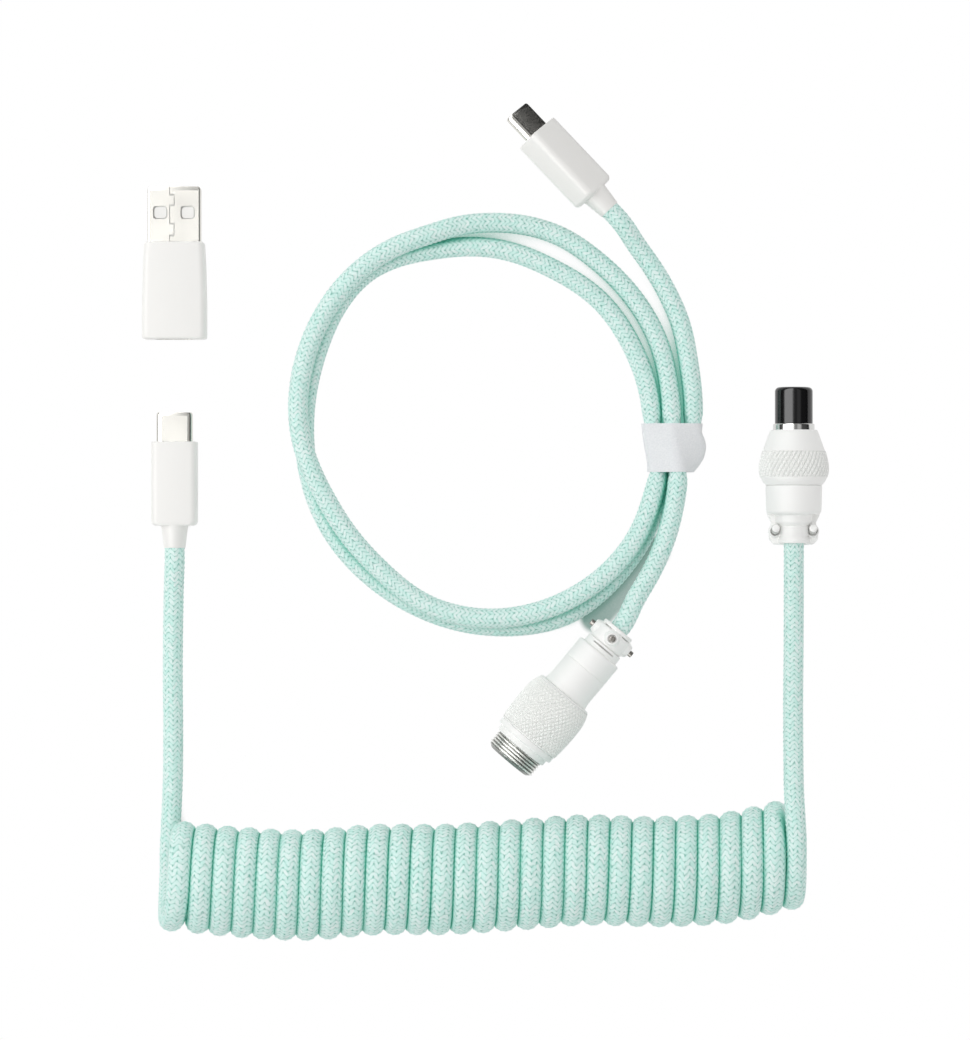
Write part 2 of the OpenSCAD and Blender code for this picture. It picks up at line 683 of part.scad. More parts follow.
// Neck of a round connector: lip, throat under the clamp, and the bores for cord and wires
module neck_outside(d) {
    lip_t = 0.9;
    rod_y(0, lip_t, d + 1);
    rod_y(0, neck_l - clamp_gap, throat_d);
    rod_y(clamp_y + clamp_l + clamp_gap, neck_l - clamp_y - clamp_l - clamp_gap, d);
}
module neck_bores(end_y) {
    wall_l = 1.5;
    wire_room = 0.3;
    rod_y(-cut, gland_l + cut, cord_d + 2 * gland_fit);
    rod_y(0, end_y, 2 * wire_ring + wire_d + wire_room);
    rod_y(neck_l - wall_l + 2 * cut, end_y - neck_l + wall_l, inner_bore);
}

// Detachable round plug of the coiled cable
module round_plug_insert() {
    rim = 1;
    outline = [
        [0, stem_y], [stem_d / 2, stem_y], [stem_d / 2, barrel_end], [tip_d / 2, barrel_end],
        for (a = [0 : 15 : 90]) [tip_d / 2 - rim + rim * cos(a), tip_end - rim + rim * sin(a)],
        [0, tip_end]
    ];
    color(black) at_round_plug() difference() {
        turned_y(outline);
        contact_places(contact_circle / 2) rod_y(stem_y - cut, tip_end - stem_y + 2 * cut, contact_d + 2 * fit);
    }
}
module round_plug_contacts() {
    tip_back = 1;
    hole_l = 6;
    color(gold) at_round_plug() contact_places(contact_circle / 2) difference() {
        rod_y(contact_y, tip_end - tip_back - contact_y, contact_d);
        rod_y(tip_end - tip_back - hole_l, hole_l + cut, contact_d * 0.6);
    }
}
module round_plug_barrel() {
    color(bright) at_round_plug() difference() {
        union() {
            rod_y(barrel_y, barrel_end - barrel_y, barrel_d);
            rod_y(flange_y, flange_t, ring_bore - 4 * slide_fit);
        }
        rod_y(barrel_y - cut, barrel_end - barrel_y + 2 * cut, stem_d + 2 * fit);
    }
}
// Diameter of the ring along its knurled band, from its rear edge; peak is the place of the widest
function knurl_d(t, peak) = grip_d - (t < peak
    ? (grip_d - knurl_rear_d) * pow((peak - t) / peak, 2)
    : (grip_d - knurl_front_d) * pow((t - peak) / (1 - peak), 1.6));
module coupling_ring() {
    chamfer_l = 1.9;
    band_y = ring_y + chamfer_l;
    peak = 0.34;
    outline = [
        [ring_bore / 2, ring_y], [ring_rear_d / 2, ring_y],
        for (t = [0 : 0.125 : 1]) [knurl_d(t, peak) / 2, band_y + knurl_l * t],
        [ring_front_d / 2, ring_y + ring_l], [barrel_d / 2 + slide_fit, ring_y + ring_l],
        [barrel_d / 2 + slide_fit, ring_lip_y], [ring_bore / 2, ring_lip_y]
    ];
    color(white) at_round_plug() turned_y(outline);
}
module coupling_retainer() {
    color(bright) at_round_plug() difference() {
        rod_y(retainer_y, retainer_t, ring_bore - 2 * fit);
        rod_y(retainer_y - cut, retainer_t + 2 * cut, spigot_d + 2 * slide_fit);
    }
}
module thrust_washer() {
    color(bright) at_round_plug() difference() {
        rod_y(ring_lip_y - washer_t, washer_t, ring_bore - 2 * slide_fit);
        rod_y(ring_lip_y - washer_t - cut, washer_t + 2 * cut, barrel_d + 2 * slide_fit);
    }
}
module round_plug_back_shell() {
    shoulder = 1.4;
    ear_side = [
        [ear_tip_w / 2, 0], [lug_span / 2, clamp_y], [ear_w / 2, shell_y + ear_grip], [0, shell_y + ear_grip]
    ];
    ear_outline = concat(ear_side, [for (i = [len(ear_side) - 1 : -1 : 0]) [-ear_side[i].x, ear_side[i].y]]);
    outline = [
        [0, neck_l - 2 * clamp_gap], [neck_d / 2, neck_l - 2 * clamp_gap], [neck_d / 2, shell_y],
        for (a = [-90 : 15 : 0]) [shell_d / 2 - shoulder + shoulder * cos(a), shell_y + shoulder + shoulder * sin(a)],
        [shell_d / 2, shell_y + plug_shell_l], [spigot_d / 2, shell_y + plug_shell_l],
        [spigot_d / 2, barrel_y], [0, barrel_y]
    ];
    color(white) at_round_plug() difference() {
        union() {
            turned_y(outline);
            neck_outside(neck_d);
            translate([0, 0, -ear_t]) linear_extrude(ear_t) polygon(ear_outline);
        }
        neck_bores(barrel_y + cut);
        for (side = [-1, 1]) translate([side * screw_x, clamp_y + clamp_l / 2, -ear_t - cut])
            cylinder(h = ear_t + 2 * cut, d = screw_d + 2 * fit);
    }
}
module round_plug_clamp() {
    arch_d = throat_d + 1;
    color(white) at_round_plug() difference() {
        union() {
            intersection() {
                rod_y(clamp_y, clamp_l, arch_d);
                block([-arch_d, clamp_y, clamp_gap], [arch_d, clamp_y + clamp_l, arch_d]);
            }
            block([-lug_span / 2, clamp_y, clamp_gap], [lug_span / 2, clamp_y + clamp_l, clamp_gap + lug_t]);
        }
        rod_y(clamp_y - cut, clamp_l + 2 * cut, throat_d + 2 * fit);
        for (side = [-1, 1]) translate([side * screw_x, clamp_y + clamp_l / 2, -cut])
            cylinder(h = clamp_gap + lug_t + 2 * cut, d = screw_d + 2 * fit);
    }
}
module round_plug_screws() {
    color(white) at_round_plug() for (side = [-1, 1]) translate([side * screw_x, clamp_y + clamp_l / 2, 0]) {
        translate([0, 0, -ear_t]) cylinder(h = ear_t + lug_t + clamp_gap, d = screw_d);
        translate([0, 0, clamp_gap + lug_t]) cylinder(h = screw_head_l, d = screw_head_d);
    }
}
module round_plug_wires() { at_round_plug() round_wires(contact_y); }

// Slim plug of the host cable
module host_plug_shell() { at_host_plug() plug_shell(); }
module host_plug_insert() { at_host_plug() plug_insert(); }
module host_plug_contacts() { at_host_plug() plug_contacts(); }
module host_plug_board() { at_host_plug() plug_board(); }
module host_plug_housing() { at_host_plug() plug_housing(); }
module host_plug_collar() { at_host_plug() plug_collar(); }
module host_plug_wires() { at_host_plug() plug_wires(); }

// Host cord and its tie
module host_cord_lead() { color(mint) tube(host_lead_route, 8, [0, 0, 1]); }
module host_cord_loops() {
    echo(loops_least_gap = least_gap(loop_points, 12));
    color(mint) tube(loop_route, 6, [0, 0, 1]);
}
module host_cord_tail() { color(mint) tube(host_tail_route, 8, [0, 0, 1]); }
module strap_slice(section, grow, low) {
    left = section[1] - grow;
    right = section[2] + grow;
    top = section[3] + grow;
    slice = 0.02;
    translate([(left + right) / 2, strap_y + section[0] * (strap_w + 2 * low) - slice / 2, (top + strap_t - grow) / 2])
        bar_y(0, slice) rounded(right - left, top - strap_t + grow, strap_round, $fn = 32);
}
module tie_strap() {
    color(white) difference() {
        for (i = [0, 1]) hull() for (k = [i, i + 1]) strap_slice(strap_sections[k], strap_t, 0);
        for (i = [0, 1]) hull() for (k = [i, i + 1]) strap_slice(strap_sections[k], 0, cut);
    }
}

// Threaded connector of the host cable
module threaded_shell() {
    color(bright) at_threaded() difference() {
        union() {
            rod_y(thread_y, thread_l, thread_d);
            rod_y(grip_y, thread_y - grip_y, core_d);
            rod_y(core_y, grip_y - core_y, core_spigot_d);
        }
        rod_y(pin_seat_y, thread_end - pin_seat_y + cut, mouth_d);
        rod_y(core_y - cut, thread_end - core_y, inner_bore);
    }
}
module threaded_insert() {
    color(black) at_threaded() difference() {
        union() {
            rod_y(pin_seat_y, pin_seat_l / 2, mouth_d - 2 * fit);
            rod_y(pin_seat_y - pin_seat_l, pin_seat_l + fit, inner_bore - 2 * fit);
        }
        contact_places(contact_circle / 2) rod_y(pin_seat_y - 2 * pin_seat_l, 4 * pin_seat_l, contact_d + 2 * fit);
    }
}
module threaded_pins() {
    tail_l = 2;
    color(gold) at_threaded() contact_places(contact_circle / 2)
        rod_y(pin_seat_y - pin_seat_l - tail_l, pin_seat_l + tail_l + pin_l, contact_d);
}
module threaded_lip() {
    lip_share = 0.52;
    color(white) at_threaded() difference() {
        union() {
            rod_y(lip_y, lip_l, lip_d);
            rod_y(lip_y, lip_l * (1 - lip_share), land_d);
        }
        rod_y(lip_y - cut, lip_l + 2 * cut, core_d + 2 * fit);
    }
}
// Diameter of the grip along its length, widest in its middle and rounder at its rear
function grip_size(t, rear_d, front_d) = grip_d - (t < 0.5
    ? (grip_d - rear_d) * pow(1 - 2 * t, 3)
    : (grip_d - front_d) * pow(2 * t - 1, 2));
module threaded_grip() {
    front_d = land_d + 0.5;
    rear_d = land_d - 0.8;
    rim = 0.3;
    outline = [
        [core_d / 2 + fit, grip_y], [rear_d / 2 - rim, grip_y],
        for (t = [0 : 0.1 : 1]) [grip_size(t, rear_d, front_d) / 2, mix(grip_y + rim, lip_y, t)],
        [core_d / 2 + fit, lip_y]
    ];
    color(white) at_threaded() turned_y(outline);
}
module threaded_mid_shell() {
    color(white) at_threaded() difference() {
        rod_y(mid_y, mid_shell_l, back_shell_d);
        rod_y(mid_y - cut, mid_shell_l + 2 * cut, inner_bore);
        rod_y(core_y, mid_y + mid_shell_l - core_y + cut, core_spigot_d + 2 * fit);
    }
}
module threaded_rear_shell() {
    shoulder = 1.2;
    outline = [
        [0, rear_y],
        for (a = [-90 : 15 : 0]) [back_shell_d / 2 - shoulder + shoulder * cos(a), rear_y + shoulder + shoulder * sin(a)],
        [back_shell_d / 2, mid_y], [0, mid_y]
    ];
    color(white) at_threaded() difference() {
        union() {
            turned_y(outline);
            neck_outside(threaded_neck_d);
            rod_y(neck_l - 2 * clamp_gap, rear_y - neck_l + 3 * clamp_gap, threaded_neck_d);
        }
        neck_bores(mid_y + cut);
    }
}
module threaded_clamp() {
    ring_d = throat_d + 2;
    boss_d = 2.8;
    color(white) at_threaded() difference() {
        union() {
            rod_y(clamp_y, clamp_l, ring_d);
            for (a = [-90, 0, 90]) rotate([0, a, 0]) translate([0, clamp_y + clamp_l / 2, throat_d / 2])
                cylinder(h = boss_reach - throat_d / 2, d = boss_d);
        }
        rod_y(clamp_y - cut, clamp_l + 2 * cut, throat_d + 2 * fit);
        for (a = [-90, 0, 90]) rotate([0, a, 0]) translate([0, clamp_y + clamp_l / 2, 0])
            cylinder(h = boss_reach + cut, d = screw_d + 2 * fit);
    }
}
module threaded_screws() {
    color(bright) at_threaded() for (a = [-90, 0, 90]) rotate([0, a, 0])
        translate([0, clamp_y + clamp_l / 2, throat_d / 2 + 2 * fit])
            cylinder(h = screw_reach - throat_d / 2 - 2 * fit, d = screw_d);
}
module threaded_wires() { at_threaded() round_wires(pin_seat_y - pin_seat_l - 2); }

adapter_housing();
adapter_plug_shell();
adapter_plug_insulator();
adapter_plug_contacts();
adapter_board();
adapter_socket_shell();
adapter_socket_tongue();
adapter_socket_contacts();
device_plug_shell();
device_plug_insert();
device_plug_contacts();
device_plug_board();
device_plug_housing();
device_plug_collar();
device_plug_wires();
coiled_cord_lead();
coiled_cord_coil();
coiled_cord_tail();
round_plug_insert();
round_plug_contacts();
round_plug_barrel();
coupling_ring();
coupling_retainer();
thrust_washer();
round_plug_back_shell();
round_plug_clamp();
round_plug_screws();
round_plug_wires();
host_plug_shell();
host_plug_insert();
host_plug_contacts();
host_plug_board();
host_plug_housing();
host_plug_collar();
host_plug_wires();
host_cord_lead();
host_cord_loops();
host_cord_tail();
tie_strap();
threaded_shell();
threaded_insert();
threaded_pins();
threaded_lip();
threaded_grip();
threaded_mid_shell();
threaded_rear_shell();
threaded_clamp();
threaded_screws();
threaded_wires();
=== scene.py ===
"""Looks of a coiled keyboard cable set: woven cords, white plugs and bright metal on a white desk.

Sizes in this file are millimetres, until add_mesh turns them into the frame's metres. +Z is up.
"""

from functools import partial
from math import acos, ceil, cos, pi, radians, sin, sqrt, tan

import bmesh
import bpy
import numpy as np
from mathutils import Matrix, Vector
from numpy.linalg import norm


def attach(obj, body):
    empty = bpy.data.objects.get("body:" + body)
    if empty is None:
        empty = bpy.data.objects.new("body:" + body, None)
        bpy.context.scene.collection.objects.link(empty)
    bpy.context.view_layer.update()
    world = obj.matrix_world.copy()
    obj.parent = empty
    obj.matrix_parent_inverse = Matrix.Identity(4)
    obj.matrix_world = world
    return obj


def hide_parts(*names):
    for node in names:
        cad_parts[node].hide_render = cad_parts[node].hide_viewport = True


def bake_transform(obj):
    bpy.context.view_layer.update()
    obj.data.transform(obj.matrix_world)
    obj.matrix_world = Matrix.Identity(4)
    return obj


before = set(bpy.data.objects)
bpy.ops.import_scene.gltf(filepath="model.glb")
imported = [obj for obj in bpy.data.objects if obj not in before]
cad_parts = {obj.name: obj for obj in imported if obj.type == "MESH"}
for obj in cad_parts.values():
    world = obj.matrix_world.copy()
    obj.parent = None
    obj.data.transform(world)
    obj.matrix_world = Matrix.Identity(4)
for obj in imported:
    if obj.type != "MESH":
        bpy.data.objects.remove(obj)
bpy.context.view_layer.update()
scene = bpy.context.scene
scene.view_settings.view_transform = "Standard"
MM = 0.001


# Places on the desk


def placed(x, y, z, turn=0.0, roll=0.0):
    """Matrix that lays a piece, built forward along its own +Y, on the desk."""
    faced = Matrix.Rotation(radians(turn), 4, "Z")
    rolled = Matrix.Rotation(radians(roll), 4, "Y")
    return np.array(Matrix.Translation((x, y, z)) @ faced @ rolled)


CORD_REST = 2.32
AXIS_Z = 7.9
SEAT_Z = 3.3
HOST_PLUG_Z = 5.397
DESK = placed(0, 0, 0)
AT_ADAPTER = placed(-70.1, 39.9, SEAT_Z)
AT_DEVICE_PLUG = placed(-70.1, 16.8, SEAT_Z)
AT_ROUND_PLUG = placed(69.4, -6.1, AXIS_Z)
AT_HOST_PLUG = placed(11.6, 86.4, HOST_PLUG_Z, 43.5, 47.0)
AT_THREADED = placed(30.15, -25.4, AXIS_Z, 140.05)


def moved(place, point):
    """A point of a piece, laid on the desk."""
    return place[:3, :3] @ np.asarray(point, float) + place[:3, 3]


# Materials

CLOUD_SCALE = 180.0
BRAID_SLOPE = 0.85
BRAID_RELIEF = 0.16
BRAID_DIVE = 0.55
# Reach of the braid's painted shade in its folds, in metres
FOLD_REACH = 0.004


def srgb(red, green, blue):
    """Linear colour of a screen colour in 0 to 255."""
    shares = [c / 255 for c in (red, green, blue)]
    return [s / 12.92 if s <= 0.04045 else ((s + 0.055) / 1.055) ** 2.4 for s in shares] + [1.0]


PAINT = srgb(249, 249, 247)
WHITE = (1.0, 1.0, 1.0, 1.0)


def adjusted(thing, **settings):
    """A thing with some of its properties set."""
    for key, value in settings.items():
        setattr(thing, key, value)
    return thing


def feed(node, inputs):
    """Sets or links inputs of a node, by name or number."""
    for key, value in inputs.items():
        if isinstance(value, bpy.types.NodeSocket):
            node.id_data.links.new(value, node.inputs[key])
        else:
            node.inputs[key].default_value = value


def add_node(tree, kind, inputs=None, **settings):
    """New shader node of a tree."""
    made = adjusted(tree.nodes.new(f"ShaderNode{kind}"), **settings)
    feed(made, inputs or {})
    return made


def reckon(operation, *inputs, kind="Math"):
    """Socket with the result of a sum."""
    tree = next(value.id_data for value in inputs if isinstance(value, bpy.types.NodeSocket))
    made = add_node(tree, kind, dict(enumerate(inputs)), operation=operation)
    return made.outputs[1 if operation in ("DOT_PRODUCT", "DISTANCE", "LENGTH") else 0]


times = partial(reckon, "MULTIPLY")
times_plus = partial(reckon, "MULTIPLY_ADD")
minus = partial(reckon, "SUBTRACT")
reckon_vector = partial(reckon, kind="VectorMath")


def ranged(value, low, high, kind="SMOOTHSTEP"):
    """Socket with a value's share of the way from low to high."""
    inputs = {0: value, 1: low, 2: high}
    return add_node(value.id_data, "MapRange", inputs, interpolation_type=kind).outputs[0]


def blended(share, low, high):
    """Socket with a colour between two colours."""
    return add_node(share.id_data, "Mix", {0: share, 6: low, 7: high}, data_type="RGBA").outputs[2]


def mixed(share, first, second):
    """Socket with a shader between two shaders."""
    return add_node(share.id_data, "MixShader", {0: share, 1: first, 2: second}).outputs[0]


def desk_place(tree):
    """Socket with a point's place on the desk, in metres."""
    return add_node(tree, "TexCoord").outputs["Object"]


def cloudy(tree, scale, detail):
    """Socket with a cloudy pattern."""
    inputs = {"Vector": desk_place(tree), "Scale": scale, "Detail": detail}
    return add_node(tree, "TexNoise", inputs).outputs["Fac"]


def raised(height, strength, relief):
    """Socket with the normals of a relief, in mm."""
    inputs = {"Strength": strength, "Distance": relief * MM, "Height": height}
    return add_node(height.id_data, "Bump", inputs).outputs[0]


def made_of(name, surface, *facts, **more):
    """Material with the shader inputs that a function of its node tree gives."""
    material = adjusted(bpy.data.materials.new(name), use_nodes=True)
    tree = material.node_tree
    feed(tree.nodes["Principled BSDF"], surface(tree, *facts, **more))
    return material


def grained(tree, colour, roughness, metallic=0.0, grain=0.0, grain_mm=0.3, drift=0.04):
    """Fine grain, with colour and roughness that drift a little."""
    cloud = cloudy(tree, CLOUD_SCALE, 3.0)
    shade = [c * (1 - drift) for c in colour[:3]] + [1.0]
    return {
        "Base Color": blended(cloud, shade, colour),
        "Roughness": times_plus(cloud, 0.12, roughness - 0.06),
        "Metallic": metallic,
        "Normal": raised(cloudy(tree, 1 / (grain_mm * MM), 2.0), 1.0, grain),
    }


def painted(tree):
    """Satin white paint."""
    return grained(tree, PAINT, 0.55, grain=0.01, drift=0.02)


def ridge(row):
    """Socket with rounded crests, one to each step of a row."""
    wave = reckon("SINE", times(row, pi))
    return reckon("POWER", reckon("ABSOLUTE", wave), 0.6)


def woven(tree):
    """Sleeve of strands in rows that meet in chevrons, with painted shade in the dips between strands and in the
    folds between turns. Its map counts columns and strands.
    """
    split = add_node(tree, "SeparateXYZ", {0: add_node(tree, "UVMap", uv_map="braid").outputs[0]})
    column = split.outputs[0]
    slant = times(reckon("PINGPONG", column, 1.0), BRAID_SLOPE)
    wander = times(minus(cloudy(tree, 900.0, 1.0), 0.5), 1.1)
    across = reckon("ADD", minus(split.outputs[1], slant), wander)
    dip = minus(1.0, ridge(across))
    depth = times(dip, times_plus(ridge(column), -BRAID_DIVE, 1.0))
    cell = add_node(tree, "CombineXYZ", {0: reckon("FLOOR", column), 1: reckon("FLOOR", across)})
    speck = add_node(tree, "TexWhiteNoise", {"Vector": cell.outputs[0]}).outputs["Value"]
    grain = times_plus(speck, 0.35, times(cloudy(tree, 1300.0, 3.0), 0.7))
    height = times_plus(grain, 0.3, minus(1.0, depth))
    tone_and_dip_shade = blended(grain, srgb(191, 243, 232), srgb(248, 255, 254))
    # Painted shade: the colour darkens to deep mint in the dips between strands
    tone_and_dip_shade = blended(ranged(depth, 0.05, 0.85), tone_and_dip_shade, srgb(104, 190, 172))
    # Painted shade: the colour turns deep mint where ambient occlusion finds folds, between the coil's turns
    around = add_node(tree, "AmbientOcclusion", {"Distance": FOLD_REACH}, samples=8, only_local=True)
    folded = ranged(around.outputs["AO"], 0.75, 0.2, "LINEAR")
    return {
        "Base Color": blended(folded, tone_and_dip_shade, srgb(94, 206, 183)),
        "Roughness": 0.55,
        "Specular IOR Level": 0.15,
        "Sheen Weight": 0.12,
        "Sheen Roughness": 0.4,
        "Sheen Tint": srgb(150, 226, 205),
        "Normal": raised(height, 0.9, BRAID_RELIEF),
    }


def knurled_paint(tree, shaded):
    """White paint, with shade in the grooves of a knurl."""
    inputs = painted(tree)
    groove = add_node(tree, "Attribute", attribute_name="groove").outputs["Fac"]
    return inputs | {"Base Color": blended(groove, inputs["Base Color"], shaded)}


def capped(tree):
    """White top, with painted shade on the sides: darker where the surface faces less upward."""
    normal = add_node(tree, "NewGeometry").outputs["Normal"]
    upward = add_node(tree, "SeparateXYZ", {0: normal}).outputs[2]
    return {"Base Color": blended(ranged(upward, 0.35, 0.6), srgb(206, 207, 204), PAINT), "Roughness": 0.5}


def thread_metal(tree, place, valley, crest):
    """Bright metal with painted shade below a radius, in mm, about a piece's own +Y axis: darker in the thread's
    valleys.
    """
    off = reckon_vector("SUBTRACT", desk_place(tree), tuple(place[:3, 3] * MM))
    away = reckon_vector("LENGTH", reckon_vector("CROSS_PRODUCT", off, tuple(place[:3, 1])))
    share = ranged(away, valley * MM, crest * MM, "LINEAR")
    colour = blended(share, srgb(150, 151, 148), srgb(236, 236, 232))
    return {"Base Color": colour, "Metallic": 0.8, "Roughness": 0.32}


def circuit_board(tree):
    """Green solder mask over copper tracks."""
    tracks = add_node(tree, "TexBrick", {"Vector": desk_place(tree), "Scale": 900.0, "Mortar Size": 0.05})
    return {
        "Base Color": blended(tracks.outputs["Fac"], srgb(38, 96, 62), srgb(70, 140, 92)), "Roughness": 0.35
    }


def felted(tree):
    """Pressed white loops of a hook-and-loop strap."""
    loops = cloudy(tree, 2600.0, 5.0)
    colour = blended(loops, srgb(222, 225, 228), srgb(246, 247, 248))
    return {"Base Color": colour, "Roughness": 0.85, "Sheen Weight": 0.3, "Normal": raised(loops, 0.8, 0.1)}


WHITE_PLASTIC = made_of("white_plastic", grained, srgb(244, 243, 240), 0.42, grain=0.012, drift=0.02)
WHITE_PAINT = made_of("white_paint", painted)
NICKEL = made_of("nickel", grained, srgb(226, 224, 218), 0.22, metallic=1.0, grain=0.006, grain_mm=0.2)
# Darker metal on the walls of cuts: painted shade in the latch windows' rims and the seam
SHADED_CUT_WALL = made_of("cut_wall_shade", grained, srgb(186, 185, 181), 0.45, metallic=0.5)
STEEL = made_of("screw_steel", grained, srgb(138, 135, 130), 0.35, metallic=0.7)
POLISHED = made_of("polished_metal", grained, srgb(214, 214, 212), 0.14, metallic=1.0)
BLACK = made_of("black_plastic", grained, srgb(14, 14, 15), 0.14)
GOLD = made_of("gold_contact", grained, srgb(232, 192, 104), 0.25, metallic=1.0)
JACKET = made_of("wire_jacket", grained, srgb(200, 200, 200), 0.5)
BOARD = made_of("circuit_board", circuit_board)
BRAID = made_of("braided_sleeve", woven)
FELT = made_of("strap_felt", felted)


# Meshes

FLAT_FACE = 8.0
SHARP = radians(35)
KEEN = radians(30)
BLUNT = radians(50)


def in_scene(name, data, *materials):
    """New object in the scene."""
    for material in materials:
        data.materials.append(material)
    made = bpy.data.objects.new(name, data)
    scene.collection.objects.link(made)
    return made


def smooth(mesh, sharp):
    """Shades a mesh smooth, but for edges sharper than an angle."""
    mesh.polygons.foreach_set("use_smooth", np.ones(len(mesh.polygons), bool))
    mesh.set_sharp_from_angle(angle=sharp)


def add_mesh(name, shape, place, material, sharp=SHARP):
    """Mesh object of a shape (points, faces), laid on the desk."""
    points = np.asarray(shape[0], float)
    laid = (points @ place[:3, :3].T + place[:3, 3]) * MM
    mesh = bpy.data.meshes.new(name)
    mesh.from_pydata(laid.tolist(), [], shape[1])
    work = bmesh.new()
    work.from_mesh(mesh)
    bmesh.ops.recalc_face_normals(work, faces=work.faces)
    work.to_mesh(mesh)
    work.free()
    smooth(mesh, sharp)
    return in_scene(name, mesh, material)


def carve(piece, cutter):
    """Cuts the cutter out of a piece, and discards the cutter."""
    cut = piece.modifiers.new("carve", "BOOLEAN")
    adjusted(cut, operation="DIFFERENCE", solver="EXACT", material_mode="TRANSFER", object=cutter)
    bpy.context.view_layer.update()
    carved = bpy.data.meshes.new_from_object(piece.evaluated_get(bpy.context.evaluated_depsgraph_get()))
    piece.modifiers.clear()
    piece.data = carved
    carved.set_sharp_from_angle(angle=SHARP)
    bpy.data.objects.remove(cutter)


def soften(piece, width):
    """Rounds the sharp edges of a piece."""
    work = bmesh.new()
    work.from_mesh(piece.data)
    bmesh.ops.remove_doubles(work, verts=work.verts, dist=0.001 * MM)
    edges = [e for e in work.edges if len(e.link_faces) == 2 and e.calc_face_angle() > SHARP]
    bevel = {"segments": 3, "affect": "EDGES", "clamp_overlap": True, "profile": 0.5}
    bmesh.ops.bevel(work, geom=edges, offset=width * MM, **bevel)
    work.to_mesh(piece.data)
    work.free()
    smooth(piece.data, radians(40))


def build(
    place, body, name, shape, material, *nodes, slot=None, sharp=SHARP, cuts=(), soft=0.0, flat=False
):
    """Piece of a shape, less some cuts, that rides on a body and stands for CAD nodes."""
    made = add_mesh(name, shape, place, material, sharp)
    for taken, finish in cuts:
        carve(made, add_mesh("cut", taken, place, finish))
    if soft:
        soften(made, soft)
    if flat:
        for face in made.data.polygons:
            face.use_smooth = face.area <= FLAT_FACE * MM**2
    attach(made, body)
    if nodes:
        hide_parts(*nodes)
    return made


def joined(*shapes):
    """One shape of several."""
    points = []
    faces = []
    for more_points, more_faces in shapes:
        start = len(points)
        points.extend(more_points)
        faces.extend([tuple(start + i for i in face) for face in more_faces])
    return points, faces


def eased(corners, steps):
    """Outline through corners (x, y, radius), each one an arc."""
    points = []
    for i, (x, y, radius) in enumerate(corners):
        if radius == 0:
            points.append((x, y))
            continue
        here = np.array((x, y), float)
        back = np.array(corners[i - 1][:2]) - here
        ahead = np.array(corners[(i + 1) % len(corners)][:2]) - here
        room = 0.49 * min(norm(back), norm(ahead))
        back = back / norm(back)
        ahead = ahead / norm(ahead)
        half = acos(max(-1.0, min(1.0, float(back @ ahead)))) / 2
        reach = min(radius / tan(half), room)
        middle = here + (back + ahead) / norm(back + ahead) * reach / cos(half)
        first = here + back * reach - middle
        final = here + ahead * reach - middle
        arc = pi - 2 * half
        for k in range(steps + 1):
            t = k / steps
            spoke = (first * sin((1 - t) * arc) + final * sin(t * arc)) / sin(arc)
            points.append(tuple(middle + spoke))
    return points


def lathe(outline, segments):
    """Surface of an outline of (radius, y) turned about Y. A radius of 0 is a pole."""
    points = []
    rings = []
    for radius, y in outline:
        count = 1 if radius == 0 else segments
        rings.append([len(points) + k for k in range(count)])
        for k in range(count):
            turn = 2 * pi * k / segments
            points.append((radius * cos(turn), y, radius * sin(turn)))
    faces = []
    for here, ahead in zip(rings, rings[1:] + rings[:1]):
        if len(here) == 1 and len(ahead) == 1:
            continue
        for k in range(segments):
            n = (k + 1) % segments
            corners = [here[k % len(here)], here[n % len(here)], ahead[n % len(ahead)], ahead[k % len(ahead)]]
            faces.append(tuple(dict.fromkeys(corners)))
    return points, faces


def turned(corners, steps=5, segments=96):
    """Surface of eased corners (radius, y, rounding) turned about Y."""
    return lathe(eased(corners, steps), segments)


def quarter(steps):
    """Sine and cosine at even steps along a quarter turn."""
    turns = [radians(90 * k / steps) for k in range(steps + 1)]
    return [(sin(turn), cos(turn)) for turn in turns]


def loft(loops, ring=False, knurled=()):
    """Skin over loops of equal count, capped or joined into a ring. Knurled rows fold along grooves."""
    count = len(loops[0])
    points = [tuple(p) for loop in loops for p in loop]
    faces = []
    rows = len(loops) if ring else len(loops) - 1
    for i in range(rows):
        a = i * count
        b = (i + 1) % len(loops) * count
        for k in range(count):
            n = (k + 1) % count
            if i not in knurled:
                faces.append((a + k, a + n, b + n, b + k))
            elif (k - i) % 4 in (0, 2):
                faces += [(a + k, a + n, b + n), (a + k, b + n, b + k)]
            else:
                faces += [(a + k, a + n, b + k), (a + n, b + n, b + k)]
    if not ring:
        faces.append(tuple(range(count)))
        faces.append(tuple(range((len(loops) - 1) * count, len(loops) * count)))
    return points, faces


def rounded_outline(width, height, radius, steps):
    """Outline of a rounded rectangle. A radius too large for it gives round ends."""
    half_w = width / 2
    half_h = height / 2
    radius = min(radius, 0.499 * width, 0.499 * height)
    corners = [(half_w, half_h), (-half_w, half_h), (-half_w, -half_h), (half_w, -half_h)]
    return eased([(*corner, radius) for corner in corners], steps)


def rounded_loop(width, height, radius, y):
    """Loop of a rounded rectangle across Y."""
    return [(x, y, z) for x, z in rounded_outline(width, height, radius, 8)]


def tube_shape(outer, inner, radii, low, tip, nose, lip, draw, mouth):
    """Metal tube with a rounded nose, and a mouth of a step in, a rim and a depth."""
    loops = [rounded_loop(*outer, radii[0], low)]
    for sine, cosine in quarter(8):
        inset = 2 * nose * (1 - cosine) * draw
        thin = 2 * lip * (1 - cosine)
        loops.append(rounded_loop(outer[0] - inset, outer[1] - thin, radii[0], tip - nose + nose * sine))
    loops.append(rounded_loop(inner[0] - mouth[0], inner[1], radii[1], tip - mouth[1]))
    loops += [rounded_loop(*inner, radii[1], y) for y in (tip - mouth[2], low)]
    return loft(loops, ring=True)


def box(low, high):
    """Shape of a plain block."""
    loops = []
    for y in (low[1], high[1]):
        loops.append([(low[0], y, low[2]), (high[0], y, low[2]), (high[0], y, high[2]), (low[0], y, high[2])])
    return loft(loops)


